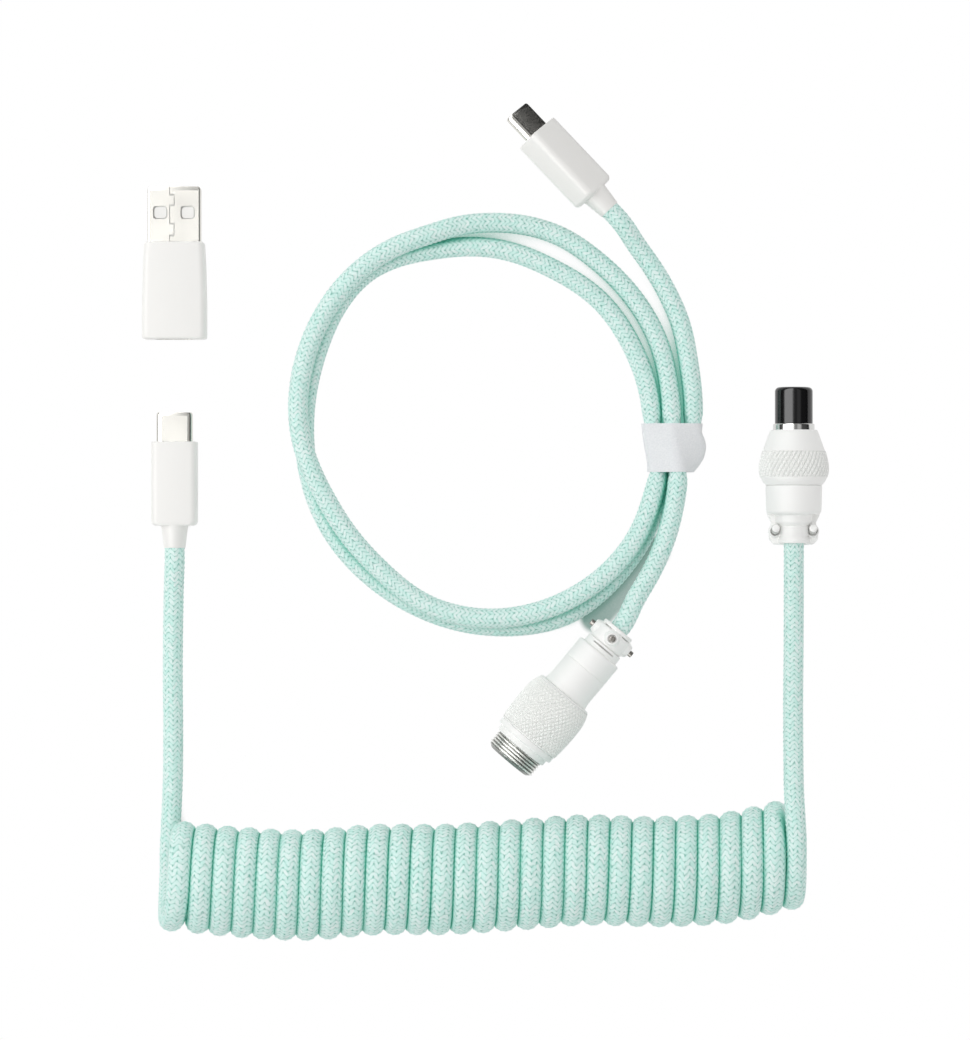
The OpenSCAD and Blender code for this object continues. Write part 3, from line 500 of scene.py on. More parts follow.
def turned_up(shape):
    """A shape along +Y, turned to +Z."""
    points = [(x, -z, y) for x, y, z in shape[0]]
    return points, shape[1]


def turned_about(shape, degrees):
    """A shape turned about the Y axis."""
    c = cos(radians(degrees))
    s = sin(radians(degrees))
    return [(x * c + z * s, y, z * c - x * s) for x, y, z in shape[0]], shape[1]


def leaned(shape, degrees):
    """A shape turned about X, so that its top leans to +Y."""
    c = cos(radians(degrees))
    s = sin(radians(degrees))
    return [(x, y * c + z * s, z * c - y * s) for x, y, z in shape[0]], shape[1]


def shifted(shape, x, y, z):
    """A shape moved."""
    return [(px + x, py + y, pz + z) for px, py, pz in shape[0]], shape[1]


# Woven cords

COLUMNS = 14
STRAND = 1.12
CORE_RADIUS = 2.16
LINE_STEP = 0.3
LINE_PASSES = 60


def eased_row(places, values, at):
    """Values at some places on a smooth curve through others."""
    places = np.asarray(places, float)
    values = np.asarray(values, float)
    count = len(places)
    before = np.maximum(np.arange(count) - 1, 0)
    after = np.minimum(np.arange(count) + 1, count - 1)
    slopes = (values[after] - values[before]) / (places[after] - places[before])
    i = np.clip(np.searchsorted(places, at) - 1, 0, count - 2)
    span = places[i + 1] - places[i]
    t = (at - places[i]) / span
    start = values[i] * (1 + 2 * t) * (1 - t) ** 2 + slopes[i] * span * t * (1 - t) ** 2
    return start + values[i + 1] * t**2 * (3 - 2 * t) + slopes[i + 1] * span * t**2 * (t - 1)


def lengths_along(line):
    """Length along a line up to each of its points."""
    return np.concatenate([[0.0], np.cumsum(norm(np.diff(line, axis=0), axis=1))])


def cord_line(points):
    """Even, softened line through points."""
    points = np.asarray(points, float)
    chords = lengths_along(points)
    at = np.linspace(0, chords[-1], int(chords[-1] / LINE_STEP))
    line = np.stack([eased_row(chords, points[:, k], at) for k in range(3)], axis=1)
    for _ in range(LINE_PASSES):
        line[1:-1] = (line[:-2] + 2 * line[1:-1] + line[2:]) / 4
    along = lengths_along(line)
    even = np.linspace(0, along[-1], len(line))
    return np.stack([np.interp(even, along, line[:, k]) for k in range(3)], axis=1)


def carried_across(line):
    """Two directions across a line at each point, carried along without twist."""
    tangents = np.gradient(line, axis=0)
    tangents /= norm(tangents, axis=1)[:, None]
    across = np.zeros_like(line)
    start = np.cross(tangents[0], (0.3, 0.2, 1.0))
    across[0] = start / norm(start)
    for i in range(len(line) - 1):
        step = line[i + 1] - line[i]
        size = step @ step
        kept = across[i] - 2 / size * (step @ across[i]) * step
        ahead = tangents[i] - 2 / size * (step @ tangents[i]) * step
        change = tangents[i + 1] - ahead
        across[i + 1] = kept - 2 / max(change @ change, 1e-12) * (change @ kept) * change
    return across, np.cross(tangents, across)


def set_map(mesh, name, u, v):
    """Gives a mesh a UV map of its first faces, corner by corner."""
    values = np.zeros((len(mesh.loops), 2), np.float32)
    values[:u.size] = np.stack([u.ravel(), v.ravel()], axis=1)
    mesh.uv_layers.new(name=name).data.foreach_set("uv", values.ravel())


def zigzag(column):
    """Rise and fall of a braid's rows: 0 at even columns and 1 at odd ones."""
    return 1 - np.abs(column % 2 - 1)


def woven_cord(name, line, swell, widen):
    """Cord with a sleeve of strands, two rings of points to each. Also returns each point's place along it.

    swell is the share by which the cord is thicker at each point of the line, and widen the share more along X.
    """
    along = lengths_along(line)
    strands = int(along[-1] / STRAND)
    strand = along[-1] / strands
    rings = 2 * strands + 1
    around = 2 * COLUMNS
    across, up = carried_across(line)
    zig = zigzag(np.arange(around) / 2)
    ring = np.arange(rings)
    place = np.clip(strand * (ring[:, None] / 2 + BRAID_SLOPE * (zig[None, :] - 0.5)), 0, along[-1])
    bulge = 0.25 + 0.75 * (np.arange(around) % 2)
    radius = CORE_RADIUS + BRAID_RELIEF * (ring % 2)[:, None] * bulge[None, :]
    radius *= 1 + np.interp(place, along, swell)
    turn = 2 * pi * np.arange(around) / around

    def at(rows):
        return np.stack([np.interp(place, along, rows[:, k]) for k in range(3)], axis=2)

    spoke = at(across) * np.cos(turn)[None, :, None] + at(up) * np.sin(turn)[None, :, None]
    spoke[:, :, 0] *= 1 + np.interp(place, along, widen)
    points = ((at(line) + radius[:, :, None] * spoke) * MM).reshape(-1, 3)
    i, k = np.divmod(np.arange((rings - 1) * around), around)
    n = (k + 1) % around
    low = i * around
    high = low + around
    quads = np.stack([low + k, high + k, high + n, low + n], axis=1)
    ends = [list(range(around)), list(range((rings - 1) * around, rings * around))[::-1]]
    mesh = bpy.data.meshes.new(name)
    mesh.from_pydata(points.tolist(), [], quads.tolist() + ends)
    corner_ring = np.stack([i, i + 1, i + 1, i], axis=1)
    corner_turn = np.stack([k, k, k + 1, k + 1], axis=1)
    set_map(mesh, "braid", corner_turn / 2, corner_ring / 2 + BRAID_SLOPE * zigzag(corner_turn / 2))
    rows = max(1, round(sqrt(along[-1] / (2 * pi * CORE_RADIUS))))
    per_row = ceil((rings - 1) / rows)
    start = (i // per_row)[:, None]
    flat_u = (corner_ring - start * per_row) / per_row
    set_map(mesh, "OFBake", flat_u, (start + 0.04 + 0.92 * corner_turn / around) / rows)
    smooth(mesh, pi)
    cord = in_scene(name, mesh, BRAID)
    return cord, place.ravel()


COIL_FIRST = -0.5
COIL_LAST = 28.0
COIL_RADIUS = 10.1
COIL_PITCH = 4.89
COIL_LEAD_X = -71.3
COIL_RUN_IN = 0.4
RUN_IN_TURNS = 5
COIL_LEAN = (0.4, 0.7)
COIL_SKEW = (0.8, -0.35)
COIL_SWELL = 0.085
COIL_WIDEN = 0.09
SWELL_RUN = 15.0
COIL_MIDDLE = (-68.05, -79.3, 12.42)
COIL_SWAY = (-1, -2.55, -3.2, -2, -1.95, -0.95, 0.15, -0.2, 0.6, 3.95)
STRAIGHT = 4.3
COLLAR_RUN = 4.0
PLUG_EXIT = -24
CLAMP_EXIT = 2


def coil_points():
    """Middle of the cord along the coil, from the desk at its start to the top at its end."""
    turns = np.arange(COIL_FIRST, COIL_LAST + 1e-6, 1 / 24)
    angle = 2 * pi * turns
    share = turns / COIL_LAST
    lean = COIL_LEAN[0] + (COIL_LEAN[1] - COIL_LEAN[0]) * share
    skew = COIL_SKEW[0] + (COIL_SKEW[1] - COIL_SKEW[0]) * share
    sidestep = (lean * np.sin(angle) + skew * (1 - np.cos(angle))) / (2 * pi)
    pressed = COIL_RUN_IN * (1 - np.minimum(1, turns / RUN_IN_TURNS) ** 2)
    free_x = COIL_MIDDLE[0] + COIL_PITCH * (turns - sidestep) + pressed
    t = np.clip(1 - turns / COIL_FIRST, 0, 1) ** 1.5
    first_x = COIL_LEAD_X + (COIL_MIDDLE[0] + COIL_RUN_IN - COIL_LEAD_X) * t**2 * (3 - 2 * t)
    x = np.where(turns < 0, first_x, free_x)
    sway = eased_row(np.linspace(COIL_FIRST, COIL_LAST, len(COIL_SWAY)), COIL_SWAY, turns)
    y = COIL_MIDDLE[1] + sway + COIL_RADIUS * np.sin(angle)
    z = COIL_MIDDLE[2] + COIL_RADIUS * np.cos(angle)
    return np.stack([x, y, z], axis=1)


coil = coil_points()
straight = np.array((0, STRAIGHT, 0))
device_exit = moved(AT_DEVICE_PLUG, (0, PLUG_EXIT, 0))
round_exit = moved(AT_ROUND_PLUG, (0, CLAMP_EXIT, 0))
lead = [
    device_exit + (0, COLLAR_RUN, 0), device_exit, device_exit - straight,
    (-70.3, -14, 2.6), (-70.5, -24, CORD_REST), (-70.6, -36, CORD_REST), (-70.5, -48, CORD_REST),
    (-70.6, -60, CORD_REST), coil[0] + straight,
]
tail = [
    coil[-1] + straight, (68.5, -61, 19.8), (68.7, -51, 15.4), (69, -41, 11.1), (69.3, -31, 8.4),
    (69.4, -21, 7.6), (69.4, -13, 7.8), round_exit - straight, round_exit,
]
coiled_line = cord_line(np.concatenate([lead, coil, tail]))
coiled_along = lengths_along(coiled_line)
coiled_length = coiled_along[-1]
lead_length = lengths_along(cord_line(np.concatenate([lead, coil[:1]])))[-1]
tail_length = lengths_along(cord_line(np.concatenate([coil[-1:], tail])))[-1]
inside_coil = np.minimum(coiled_along - lead_length, coiled_length - tail_length - coiled_along) / SWELL_RUN
coil_share = np.clip(inside_coil, 0, 1)
coiled_cord, coiled_place = woven_cord("coiled_cord", coiled_line, COIL_SWELL * coil_share, COIL_WIDEN * coil_share)
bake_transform(coiled_cord)
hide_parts("coiled_cord_lead", "coiled_cord_coil", "coiled_cord_tail")

LOOP_MIDDLE = (2.5, 20.7, 0)
LAYER_RISE = 4.76
# Loops: degrees clockwise from +X, radius, and layer from the desk
LOOP_STATIONS = np.array([
    (20, 41.4, 0), (40, 42.3, 0), (55, 44.2, 0), (70, 46, 0), (90, 45.7, 0), (120, 44.7, 0), (150, 44.3, 0),
    (180, 43.4, 0), (200, 43.6, 0), (220, 45, 0), (230, 45.1, 0), (240, 43.8, 0), (250, 42, 0),
    (270, 39.8, 0), (290, 37.5, 0), (310, 36.6, 0), (330, 35.5, 0), (345, 35.3, 0.05), (360, 35.5, 0.2),
    (370, 36.3, 0.45), (377, 37.5, 0.75), (386, 38.9, 1), (400, 40.7, 1), (420, 42.3, 1), (450, 43.8, 1),
    (470, 43.6, 1), (490, 41.8, 1), (510, 41.6, 1), (520, 42.2, 1), (540, 44.4, 1), (560, 45.5, 1),
    (585, 46.3, 1), (600, 45.9, 1), (610, 45.3, 0.8), (620, 45.6, 0.45), (630, 45.6, 0.2),
    (640, 45.5, 0.04), (650, 44.9, 0), (660, 43.7, 0), (670, 42.8, 0), (690, 41.4, 0), (705, 40.3, 0),
    (720, 39.7, 0),
])
LOOP_START = 40
LOOP_END = 700


def loop_points():
    """Middle of the cord along the host cable's two loops."""
    turns = np.arange(LOOP_START, LOOP_END + 1, 5.0)
    radius = eased_row(LOOP_STATIONS[:, 0], LOOP_STATIONS[:, 1], turns)
    layer = eased_row(LOOP_STATIONS[:, 0], LOOP_STATIONS[:, 2], turns)
    x = LOOP_MIDDLE[0] + radius * np.cos(np.radians(turns))
    y = LOOP_MIDDLE[1] - radius * np.sin(np.radians(turns))
    return np.stack([x, y, CORD_REST + LAYER_RISE * layer], axis=1)


host_exit = moved(AT_HOST_PLUG, (0, PLUG_EXIT, 0))
threaded_exit = moved(AT_THREADED, (0, CLAMP_EXIT, 0))
host_lead = [
    moved(AT_HOST_PLUG, (0, PLUG_EXIT + COLLAR_RUN, 0)), host_exit,
    moved(AT_HOST_PLUG, (0, PLUG_EXIT - STRAIGHT, 0)),
    (33.8, 61.8, 3.4), (38.3, 55.6, 2.4), (41.7, 49.6, CORD_REST), (44.4, 43, CORD_REST), (46, 35, CORD_REST),
    (47, 26.5, 2.8), (46.9, 20.7, 3.2), (46.1, 15.4, 3.3), (43.3, 9.8, 3.1), (41.3, 6.4, 2.7), (39.4, 3, 2.4),
    (37.6, -1, CORD_REST),
]
host_tail = [
    (41.5, 30, 2.6), (42, 25.5, 3.3), (42.2, 20.7, 4.5), (42.7, 15.4, 6.6), (43.4, 9.8, 8), (42.9, 4.4, 8.1),
    (41, -4, 8), (37.6, -12.2, 7.9), (33.4, -19.4, 7.9), moved(AT_THREADED, (0, CLAMP_EXIT - STRAIGHT, 0)),
    threaded_exit,
]
host_line = cord_line(np.concatenate([host_lead, loop_points(), host_tail]))
STRAP_Y = 15.4
STRAP_W = 11.0
STRAP_PINCH = 0.13
PINCH_RUN = 2.5
STRAP_SPAN = (30, 52)
LEFT_SPAN = (33, 40.5)
SQUEEZE = 0.9
SQUEEZE_Y = 11
SQUEEZE_RUN = 5
off_strap = np.abs(host_line[:, 1] - STRAP_Y)
left_strand = (host_line[:, 0] > LEFT_SPAN[0]) & (host_line[:, 0] < LEFT_SPAN[1]) & (off_strap < 20)
host_line[left_strand, 0] += SQUEEZE * np.exp(-(((host_line[left_strand, 1] - SQUEEZE_Y) / SQUEEZE_RUN) ** 2))
held = np.clip((STRAP_W / 2 + PINCH_RUN - off_strap) / PINCH_RUN, 0, 1)
held = held**2 * (3 - 2 * held) * ((host_line[:, 0] > STRAP_SPAN[0]) & (host_line[:, 0] < STRAP_SPAN[1]))
host_cord, _ = woven_cord("host_cord", host_line, -STRAP_PINCH * held, 0 * held)
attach(host_cord, "host_cable")
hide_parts("host_cord_lead", "host_cord_loops", "host_cord_tail")


# Tie strap

STRAP_T = 0.4
STRAP_ROOM = 1.88
STRAP_FOLD = 2.0
FOLD_Y = STRAP_Y - 2.6
FOLD_RUN = 6


def strap_line(y, reach, count):
    """Tight line round the strands and the strap's fold, from the left over the top, and its length."""
    here = host_line[:-1]
    passes = here[(here[:, 1] - y) * (host_line[1:, 1] - y) <= 0]
    strands = passes[(passes[:, 0] > STRAP_SPAN[0]) & (passes[:, 0] < STRAP_SPAN[1])][:, [0, 2]]
    folded = strands[np.argmax(strands[:, 0])].copy()
    folded[0] += STRAP_FOLD * max(0.0, 1 - ((y - FOLD_Y) / FOLD_RUN) ** 2)
    strands = np.vstack([strands, folded])
    turns = np.linspace(pi, -pi, 721)
    spokes = np.stack([np.cos(turns), np.sin(turns)], axis=1)
    held = np.argmax(spokes @ strands.T, axis=1)
    line = strands[held] + reach * spokes
    along = lengths_along(line)
    even = np.linspace(0, along[-1], count)
    return np.stack([np.interp(even, along, line[:, k]) for k in range(2)], axis=1), along[-1]


def strap_shape():
    """Strap round the strands, with its end lapped over its start on the left."""
    count = 120
    lap = 14
    loops = []
    for y in np.linspace(STRAP_Y - STRAP_W / 2, STRAP_Y + STRAP_W / 2, 23):
        reaches = [STRAP_ROOM + layer * STRAP_T for layer in range(3)]
        inner, outer, lapped = [strap_line(y, reach, count)[0] for reach in reaches]
        rise = np.linspace(0, 1, lap)[:, None] ** 2
        face = np.concatenate([outer[:-lap], outer[-lap:] * (1 - rise) + lapped[-lap:] * rise])
        back = np.concatenate([inner[:-lap], inner[-lap:] * (1 - rise) + outer[-lap:] * rise])
        loops.append([(x, y, z) for x, z in np.concatenate([face, back[::-1]])])
    return loft(loops)


strap = build(DESK, "host_cable", "tie_strap_felt", strap_shape(), FELT, "tie_strap", sharp=BLUNT)


# Slim plugs

FULL_ROUND = 99.0
PLUG_SHELL = (8.25, 2.4)
PLUG_INNER = (7.85, 2.0)
PLUG_REACH = 6.6
PLUG_SEAT = 4.0
PLUG_BODY = (10.3, 6.6, 1.5)
PLUG_BODY_L = 19.0
COLLAR_L = 5.0


def plug_housing_shape():
    """Moulded housing with soft rear corners and the shell's slot in its front."""
    width, height, radius = PLUG_BODY
    rear = 1.1
    rear_drop = 0.45
    front = 0.35
    loops = []
    for sine, cosine in quarter(8):
        share = 2 * (1 - sine)
        y = -PLUG_BODY_L + rear * (1 - cosine)
        loops.append(rounded_loop(width - rear * share, height - rear_drop * share, radius, y))
    for sine, cosine in quarter(5):
        inset = 2 * front * (1 - cosine)
        y = -front + front * sine
        loops.append(rounded_loop(width - inset, height - inset, radius, y))
    slot = [side + 0.1 for side in PLUG_SHELL]
    return loft(loops + [rounded_loop(*slot, FULL_ROUND, y) for y in (0, -PLUG_SEAT)])


# Strain relief, which flares a little into the housing
collar_end = -PLUG_BODY_L - COLLAR_L
collar = [
    (0, -PLUG_BODY_L + 0.3, 0), (3.2, -PLUG_BODY_L + 0.3, 0), (3.2, -PLUG_BODY_L, 0),
    (3.0, -PLUG_BODY_L - 0.3, 0.4), (2.42, collar_end, 0.15), (2.1, collar_end, 0.1), (2.1, collar_end + 1.5, 0),
    (0, collar_end + 1.5, 0),
]


def slim_plug(prefix, place, body):
    """Shell, housing and strain relief of a slim plug."""
    ends = (-PLUG_SEAT, PLUG_REACH)
    round_ends = (FULL_ROUND, FULL_ROUND)
    shell = tube_shape(
        PLUG_SHELL, PLUG_INNER, round_ends, *ends, nose=0.75, lip=0.12, draw=0.55, mouth=(0.5, 0.08, 0.5)
    )
    build(place, body, f"{prefix}_bright_shell", shell, NICKEL, f"{prefix}_shell", flat=True)
    build(place, body, f"{prefix}_moulding", plug_housing_shape(), WHITE_PLASTIC, f"{prefix}_housing")
    build(place, body, f"{prefix}_relief", turned(collar, 3, 64), WHITE_PLASTIC, f"{prefix}_collar")


slim_plug("device_plug", AT_DEVICE_PLUG, "coiled_cable")
slim_plug("host_plug", AT_HOST_PLUG, "host_cable")


# Adapter

ADAPTER_L = 22.0
# Widths of the adapter's housing: place along it and width
ADAPTER_SIDES = ((0, 14.5), (8, 14.5), (12, 14.3), (16.5, 14.1), (18.5, 13.9), (20.5, 13.65), (22, 13.4))
ADAPTER_T = 6.6
FLAT_PLUG = (12.0, 4.5)
FLAT_INNER = (11.4, 3.9)
FLAT_TIP = 34.4
FLAT_Y = 18.0
SOCKET = (8.87, 3.02)
SOCKET_L = 7.2
SEAM_X = -0.95
SEAM_TAB = 1.0
WINDOW = (2.7, 2.5)
WINDOW_RIM = 0.26
WINDOW_X = 3.1
WINDOW_Y = 28.5


def adapter_housing_shape():
    """Tapered moulding, open at both ends, with soft edges."""
    edge = 0.6
    loops = [rounded_loop(*SOCKET, FULL_ROUND, y) for y in (SOCKET_L, 0.0)]

    def add_loop(y, inset=0.0):
        width = eased_row(*zip(*ADAPTER_SIDES), y)
        loops.append(rounded_loop(width - inset, ADAPTER_T - inset, 1.5, y))

    for sine, cosine in quarter(6):
        add_loop(edge * (1 - cosine), 2 * edge * (1 - sine))
    for y in np.linspace(edge, ADAPTER_L - edge, 13)[1:-1]:
        add_loop(y)
    for sine, cosine in quarter(6):
        add_loop(ADAPTER_L - edge * (1 - sine), 2 * edge * (1 - cosine))
    mouth = [side + 0.1 for side in FLAT_PLUG]
    return loft(loops + [rounded_loop(*mouth, 0.5, y) for y in (ADAPTER_L, FLAT_Y)])


def window_cutter():
    """Two latch windows with rounded corners and a bent rim, through both faces."""
    face = FLAT_PLUG[1] / 2
    flat = face - WINDOW_RIM
    shapes = []
    for x in (-WINDOW_X, WINDOW_X):
        loops = []
        for z in (-4, -face, -flat, flat, face, 4):
            wider = 0 if abs(z) == flat else 2 * WINDOW_RIM
            outline = rounded_outline(WINDOW[0] + wider, WINDOW[1] + wider, 0.7, 5)
            loops.append([(px + x, py + WINDOW_Y, z) for px, py in outline])
        shapes.append(loft(loops))
    return joined(*shapes)


def seam_cutter():
    """Thin groove of the fold's seam along the top, with two dovetail steps."""
    half = 0.1
    depth = FLAT_PLUG[1] / 2 - 0.24
    tab_x = SEAM_X + SEAM_TAB
    path = [
        (SEAM_X, FLAT_Y - 1), (SEAM_X, 23.4), (tab_x, 23.2), (tab_x, 26.1), (SEAM_X, 25.9),
        (SEAM_X, 30.2), (tab_x, 30.0), (tab_x, 32.6), (SEAM_X, 32.4), (SEAM_X, FLAT_TIP + 1),
    ]
    shapes = []
    for pair in zip(path, path[1:]):
        low = np.min(pair, axis=0) - half
        high = np.max(pair, axis=0) + half
        shapes.append(box((*low, depth), (*high, 4.0)))
    return shapes


build(AT_ADAPTER, "adapter", "adapter_moulding", adapter_housing_shape(), WHITE_PLASTIC, "adapter_housing")
flat_ends = (FLAT_Y, FLAT_TIP)
flat_plug = tube_shape(
    FLAT_PLUG, FLAT_INNER, (0.45, 0.2), *flat_ends, nose=0.9, lip=0.15, draw=0.6, mouth=(0.7, 0.05, 0.8)
)
# The windows' rims and the seam's walls take the darker metal of painted shade
flat_cuts = [(shape, SHADED_CUT_WALL) for shape in [window_cutter(), *seam_cutter()]]
build(
    AT_ADAPTER, "adapter", "adapter_bright_shell", flat_plug, NICKEL, "adapter_plug_shell", cuts=flat_cuts, flat=True
)


# Round plug of the coiled cable

NECK_L = 6.5
RING_Y = 13.05
RING_L = 12.4
KNURL_Y = 14.95
KNURL_L = 5.7
KNURL_DEPTH = 0.3
RING_DIAMOND = 1.9
GRIP_DIAMOND = 1.35
BARREL_Y = 15.0
BARREL_END = 26.85
TIP_END = 35.05
CLAMP_Y = 1.1
CLAMP_L = 3.2
POST_X = 4.2
POST_Y = 2.7


def circle_loop(radius, y, count):
    """Loop of a circle across Y; radius may be a row of radii."""
    turns = 2 * pi * np.arange(count) / count
    radii = np.broadcast_to(np.asarray(radius, float), turns.shape)
    return np.stack([radii * np.cos(turns), np.full(count, float(y)), radii * np.sin(turns)], axis=1)


def knurled_ring(before, band, after, around, lesser):
    """Ring of outlines (radius, y) before and after a knurled band, and its grooves' depths."""
    count = 4 * around
    column = np.arange(count)
    first = len(before)
    last = first + len(band) - 1
    loops = []
    depths = []
    for i, (radius, y) in enumerate([*before, *band, *after]):
        steep = np.abs((column + i) % 4 - 2) - 1
        shallow = np.abs((column - i) % 4 - 2) - 1
        groove = np.clip(np.maximum(steep, lesser * shallow), 0, 1) * (first <= i <= last)
        loops.append(circle_loop(radius - KNURL_DEPTH * groove, y, count))
        depths.append(groove)
    return loft(loops, ring=True, knurled=range(first, last)), np.concatenate(depths)


def build_knurled(place, body, name, knurled, shaded, node):
    """Knurled ring, with how deep each point lies in a groove kept on it."""
    shape, depths = knurled
    paint = made_of(f"{name}_paint", knurled_paint, shaded)
    made = build(place, body, name, shape, paint, node, slot="white_paint", sharp=KEEN)
    made.data.attributes.new("groove", "FLOAT", "POINT").data.foreach_set("value", depths)
    return made


def knurl_rows(radius_at, low, high, diamond):
    """Rows (radius, y) of a knurled band, four to each diamond."""
    rows = 4 * round((high - low) / diamond)
    return [(radius_at(t), low + (high - low) * t) for t in np.linspace(0, 1, rows + 1)]


def coupling_radius(t):
    """Radius of the coupling ring along its belt, widest at a third of it."""
    peak = 0.34
    if t < peak:
        return 7.9 - 0.25 * ((peak - t) / peak) ** 2
    return 7.9 - 0.75 * ((t - peak) / (1 - peak)) ** 1.6


def coupling_ring_shape():
    """White ring with a knurled belt, and its bore."""
    front = RING_Y + RING_L
    before = [
        (4.85, front - 3.5), (5.6, front - 3.5), (5.6, RING_Y + 0.3), (5.75, RING_Y), (6.3, RING_Y),
        (6.47, RING_Y + 0.12), (7.1, RING_Y + 0.95), (7.5, KNURL_Y - 0.12), (7.5, KNURL_Y - 0.06),
    ]
    belt_end = KNURL_Y + KNURL_L
    after = [
        (7.0, belt_end + 0.06), (6.98, belt_end + 0.15), (6.3, 22.65), (5.55, 24.75), (5.4, 25.15), (5.2, 25.38),
        (5.05, front), (4.95, front), (4.85, front - 0.15),
    ]
    belt = knurl_rows(coupling_radius, KNURL_Y, belt_end, RING_DIAMOND)
    return knurled_ring(before, belt, after, around=44, lesser=0.5)


def ears_shape():
    """Tapered flanges beside the neck, which carry the clamp's screws."""
    side = [
        (2.6, -0.4, 0.3), (4.4, -0.35, 1.1), (5.5, 0.9, 1.0), (5.45, 3.2, 0.9), (4.95, 4.5, 0.8), (5.7, 6.0, 0.6),
        (6.1, 7.4, 0),
    ]
    mirrored = [(-x, y, r) for x, y, r in side][::-1]
    plan = eased(side + mirrored, 6)
    return loft([[(x, y, z) for x, y in plan] for z in (-2.2, 0)])


def at_posts(shape):
    """One shape of two copies, at the clamp's screws."""
    return joined(*[shifted(shape, x, POST_Y, 0) for x in (-POST_X, POST_X)])


def post_shape(low, top, radius, rounding=0.4, steps=4):
    """Small rounded post along +Z."""
    corners = [(0, low, 0), (radius, low, 0), (radius, top, rounding), (0, top, 0)]
    return turned_up(turned(corners, steps, 32))


# Back shell with a soft shoulder, its neck, and the lip at the cord's end
back_shell = [
    (0, 15.0, 0), (4.7, 15.0, 0.2), (4.7, 13.02, 0.1), (6.35, 13.02, 0.25), (6.2, NECK_L, 1.4),
    (4.25, NECK_L, 0.5), (4.2, 4.6, 0.8), (3.1, 3.8, 0.7), (2.95, 2.0, 0.6), (3.6, 0.7, 0.5), (3.5, 0.0, 0.35),
    (2.45, 0.0, 0.2), (2.45, 2.0, 0), (0, 2.0, 0),
]
tip = [
    (0, 9.0, 0), (3.2, 9.0, 0), (3.2, BARREL_END, 0), (4.25, BARREL_END, 0.1), (4.25, TIP_END, 1.0), (0, TIP_END, 0)
]
hole = lathe([(0, 8.0), (0.55, 8.0), (0.55, 36.0), (0, 36.0)], 24)
holes = joined(*[turned_about(shifted(hole, 0, 0, 1.7), 72 * k) for k in range(5)])
sleeve = [
    (3.25, BARREL_Y, 0), (4.7, BARREL_Y, 0.1), (4.7, 19.55, 0), (5.3, 19.55, 0.1), (5.3, 20.35, 0.1),
    (4.7, 20.35, 0), (4.7, BARREL_END, 0.3), (3.25, BARREL_END, 0),
]
clamp_band = turned([(2.9, 1.5, 0), (3.25, 1.5, 0.3), (3.4, 3.9, 0.3), (2.9, 3.9, 0)], 4)
pad = [(0, -0.5, 0), (1.55, -0.5, 0), (1.4, 1.0, 0.5), (0, 1.0, 0)]
clamp_pads = at_posts(turned_up(turned(pad, 5, 40)))
wells = at_posts(post_shape(0.1, 4.0, 1.15))
posts = at_posts(leaned(post_shape(-0.2, 2.9, 0.92), 15))
# Posts with painted shade on their sides
side_shaded_screw = made_of("side_shaded_screw", capped)
on_round = partial(build, AT_ROUND_PLUG, "detach_plug")
round_pieces = [
    on_round("round_plug_tip", turned(tip, 8, 128), BLACK, "round_plug_insert", cuts=[(holes, BLACK)]),
    on_round("round_plug_sleeve", turned(sleeve, 3, 128), POLISHED, "round_plug_barrel"),
    build_knurled(
        AT_ROUND_PLUG, "coupling_nut", "coupling_knurled_ring", coupling_ring_shape(), srgb(226, 228, 225),
        "coupling_ring",
    ),
    on_round("round_plug_shell", turned(back_shell), WHITE_PAINT, "round_plug_back_shell"),
    on_round("round_plug_ears", ears_shape(), WHITE_PAINT, soft=0.6),
    on_round("round_plug_cable_clamp", clamp_pads, WHITE_PAINT, "round_plug_clamp", cuts=[(wells, WHITE_PAINT)]),
    on_round("round_plug_band", clamp_band, WHITE_PAINT),
    on_round("round_plug_posts", posts, side_shaded_screw, "round_plug_screws", slot="white_paint"),
]


# Threaded connector of the host cable

REAR_Y = 6.8
MID_Y = 11.7
GRIP_Y = 18.9
LIP_Y = 31.8
THREAD_Y = 34.7
THREAD_END = 38.7
THREAD_PITCH = 0.72
THREAD_DEPTH = 0.42
THREAD_R = 6.1


def thread_shape():
    """Metal shell with a screw thread and a mouth for the other connector."""
    count = 128
    outline = [
        (4.45, THREAD_END - 0.1), (4.45, 28.7), (3.5, 28.7), (3.5, 14.7), (4.7, 14.7), (4.8, 14.8), (4.8, GRIP_Y),
        (5.5, GRIP_Y),
    ]
    loops = [circle_loop(r, y, count) for r, y in outline]
    turns = np.arange(count) / count
    for y in np.linspace(THREAD_Y, THREAD_END, 81):
        wave = 0.5 + 0.5 * np.cos(2 * pi * (y / THREAD_PITCH - turns))
        start = min(1.0, (y - THREAD_Y) / 0.2)
        crest = min(THREAD_R, 5.0 + 1.3 * (THREAD_END - y))
        loops.append(circle_loop(np.minimum(crest, THREAD_R - THREAD_DEPTH * (1 - wave**0.8 * start)), y, count))
    return loft(loops, ring=True)


def grip_radius(t):
    """Radius of the grip along its length, rounder at its rear."""
    return 7.9 - (1.0 * (1 - 2 * t) ** 3 if t < 0.5 else 0.35 * (2 * t - 1) ** 2)


def grip_shape():
    """Waisted grip, knurled over nearly all its length."""
    before = [(5.55, LIP_Y - 0.02), (5.55, GRIP_Y), (6.3, GRIP_Y), (6.65, GRIP_Y + 0.12), (6.86, GRIP_Y + 0.36)]
    after = [(7.5, LIP_Y - 0.32), (7.45, LIP_Y - 0.14), (7.3, LIP_Y - 0.02)]
    rows = knurl_rows(grip_radius, GRIP_Y + 0.45, LIP_Y - 0.4, GRIP_DIAMOND)
    return knurled_ring(before, rows, after, around=46, lesser=0.8)


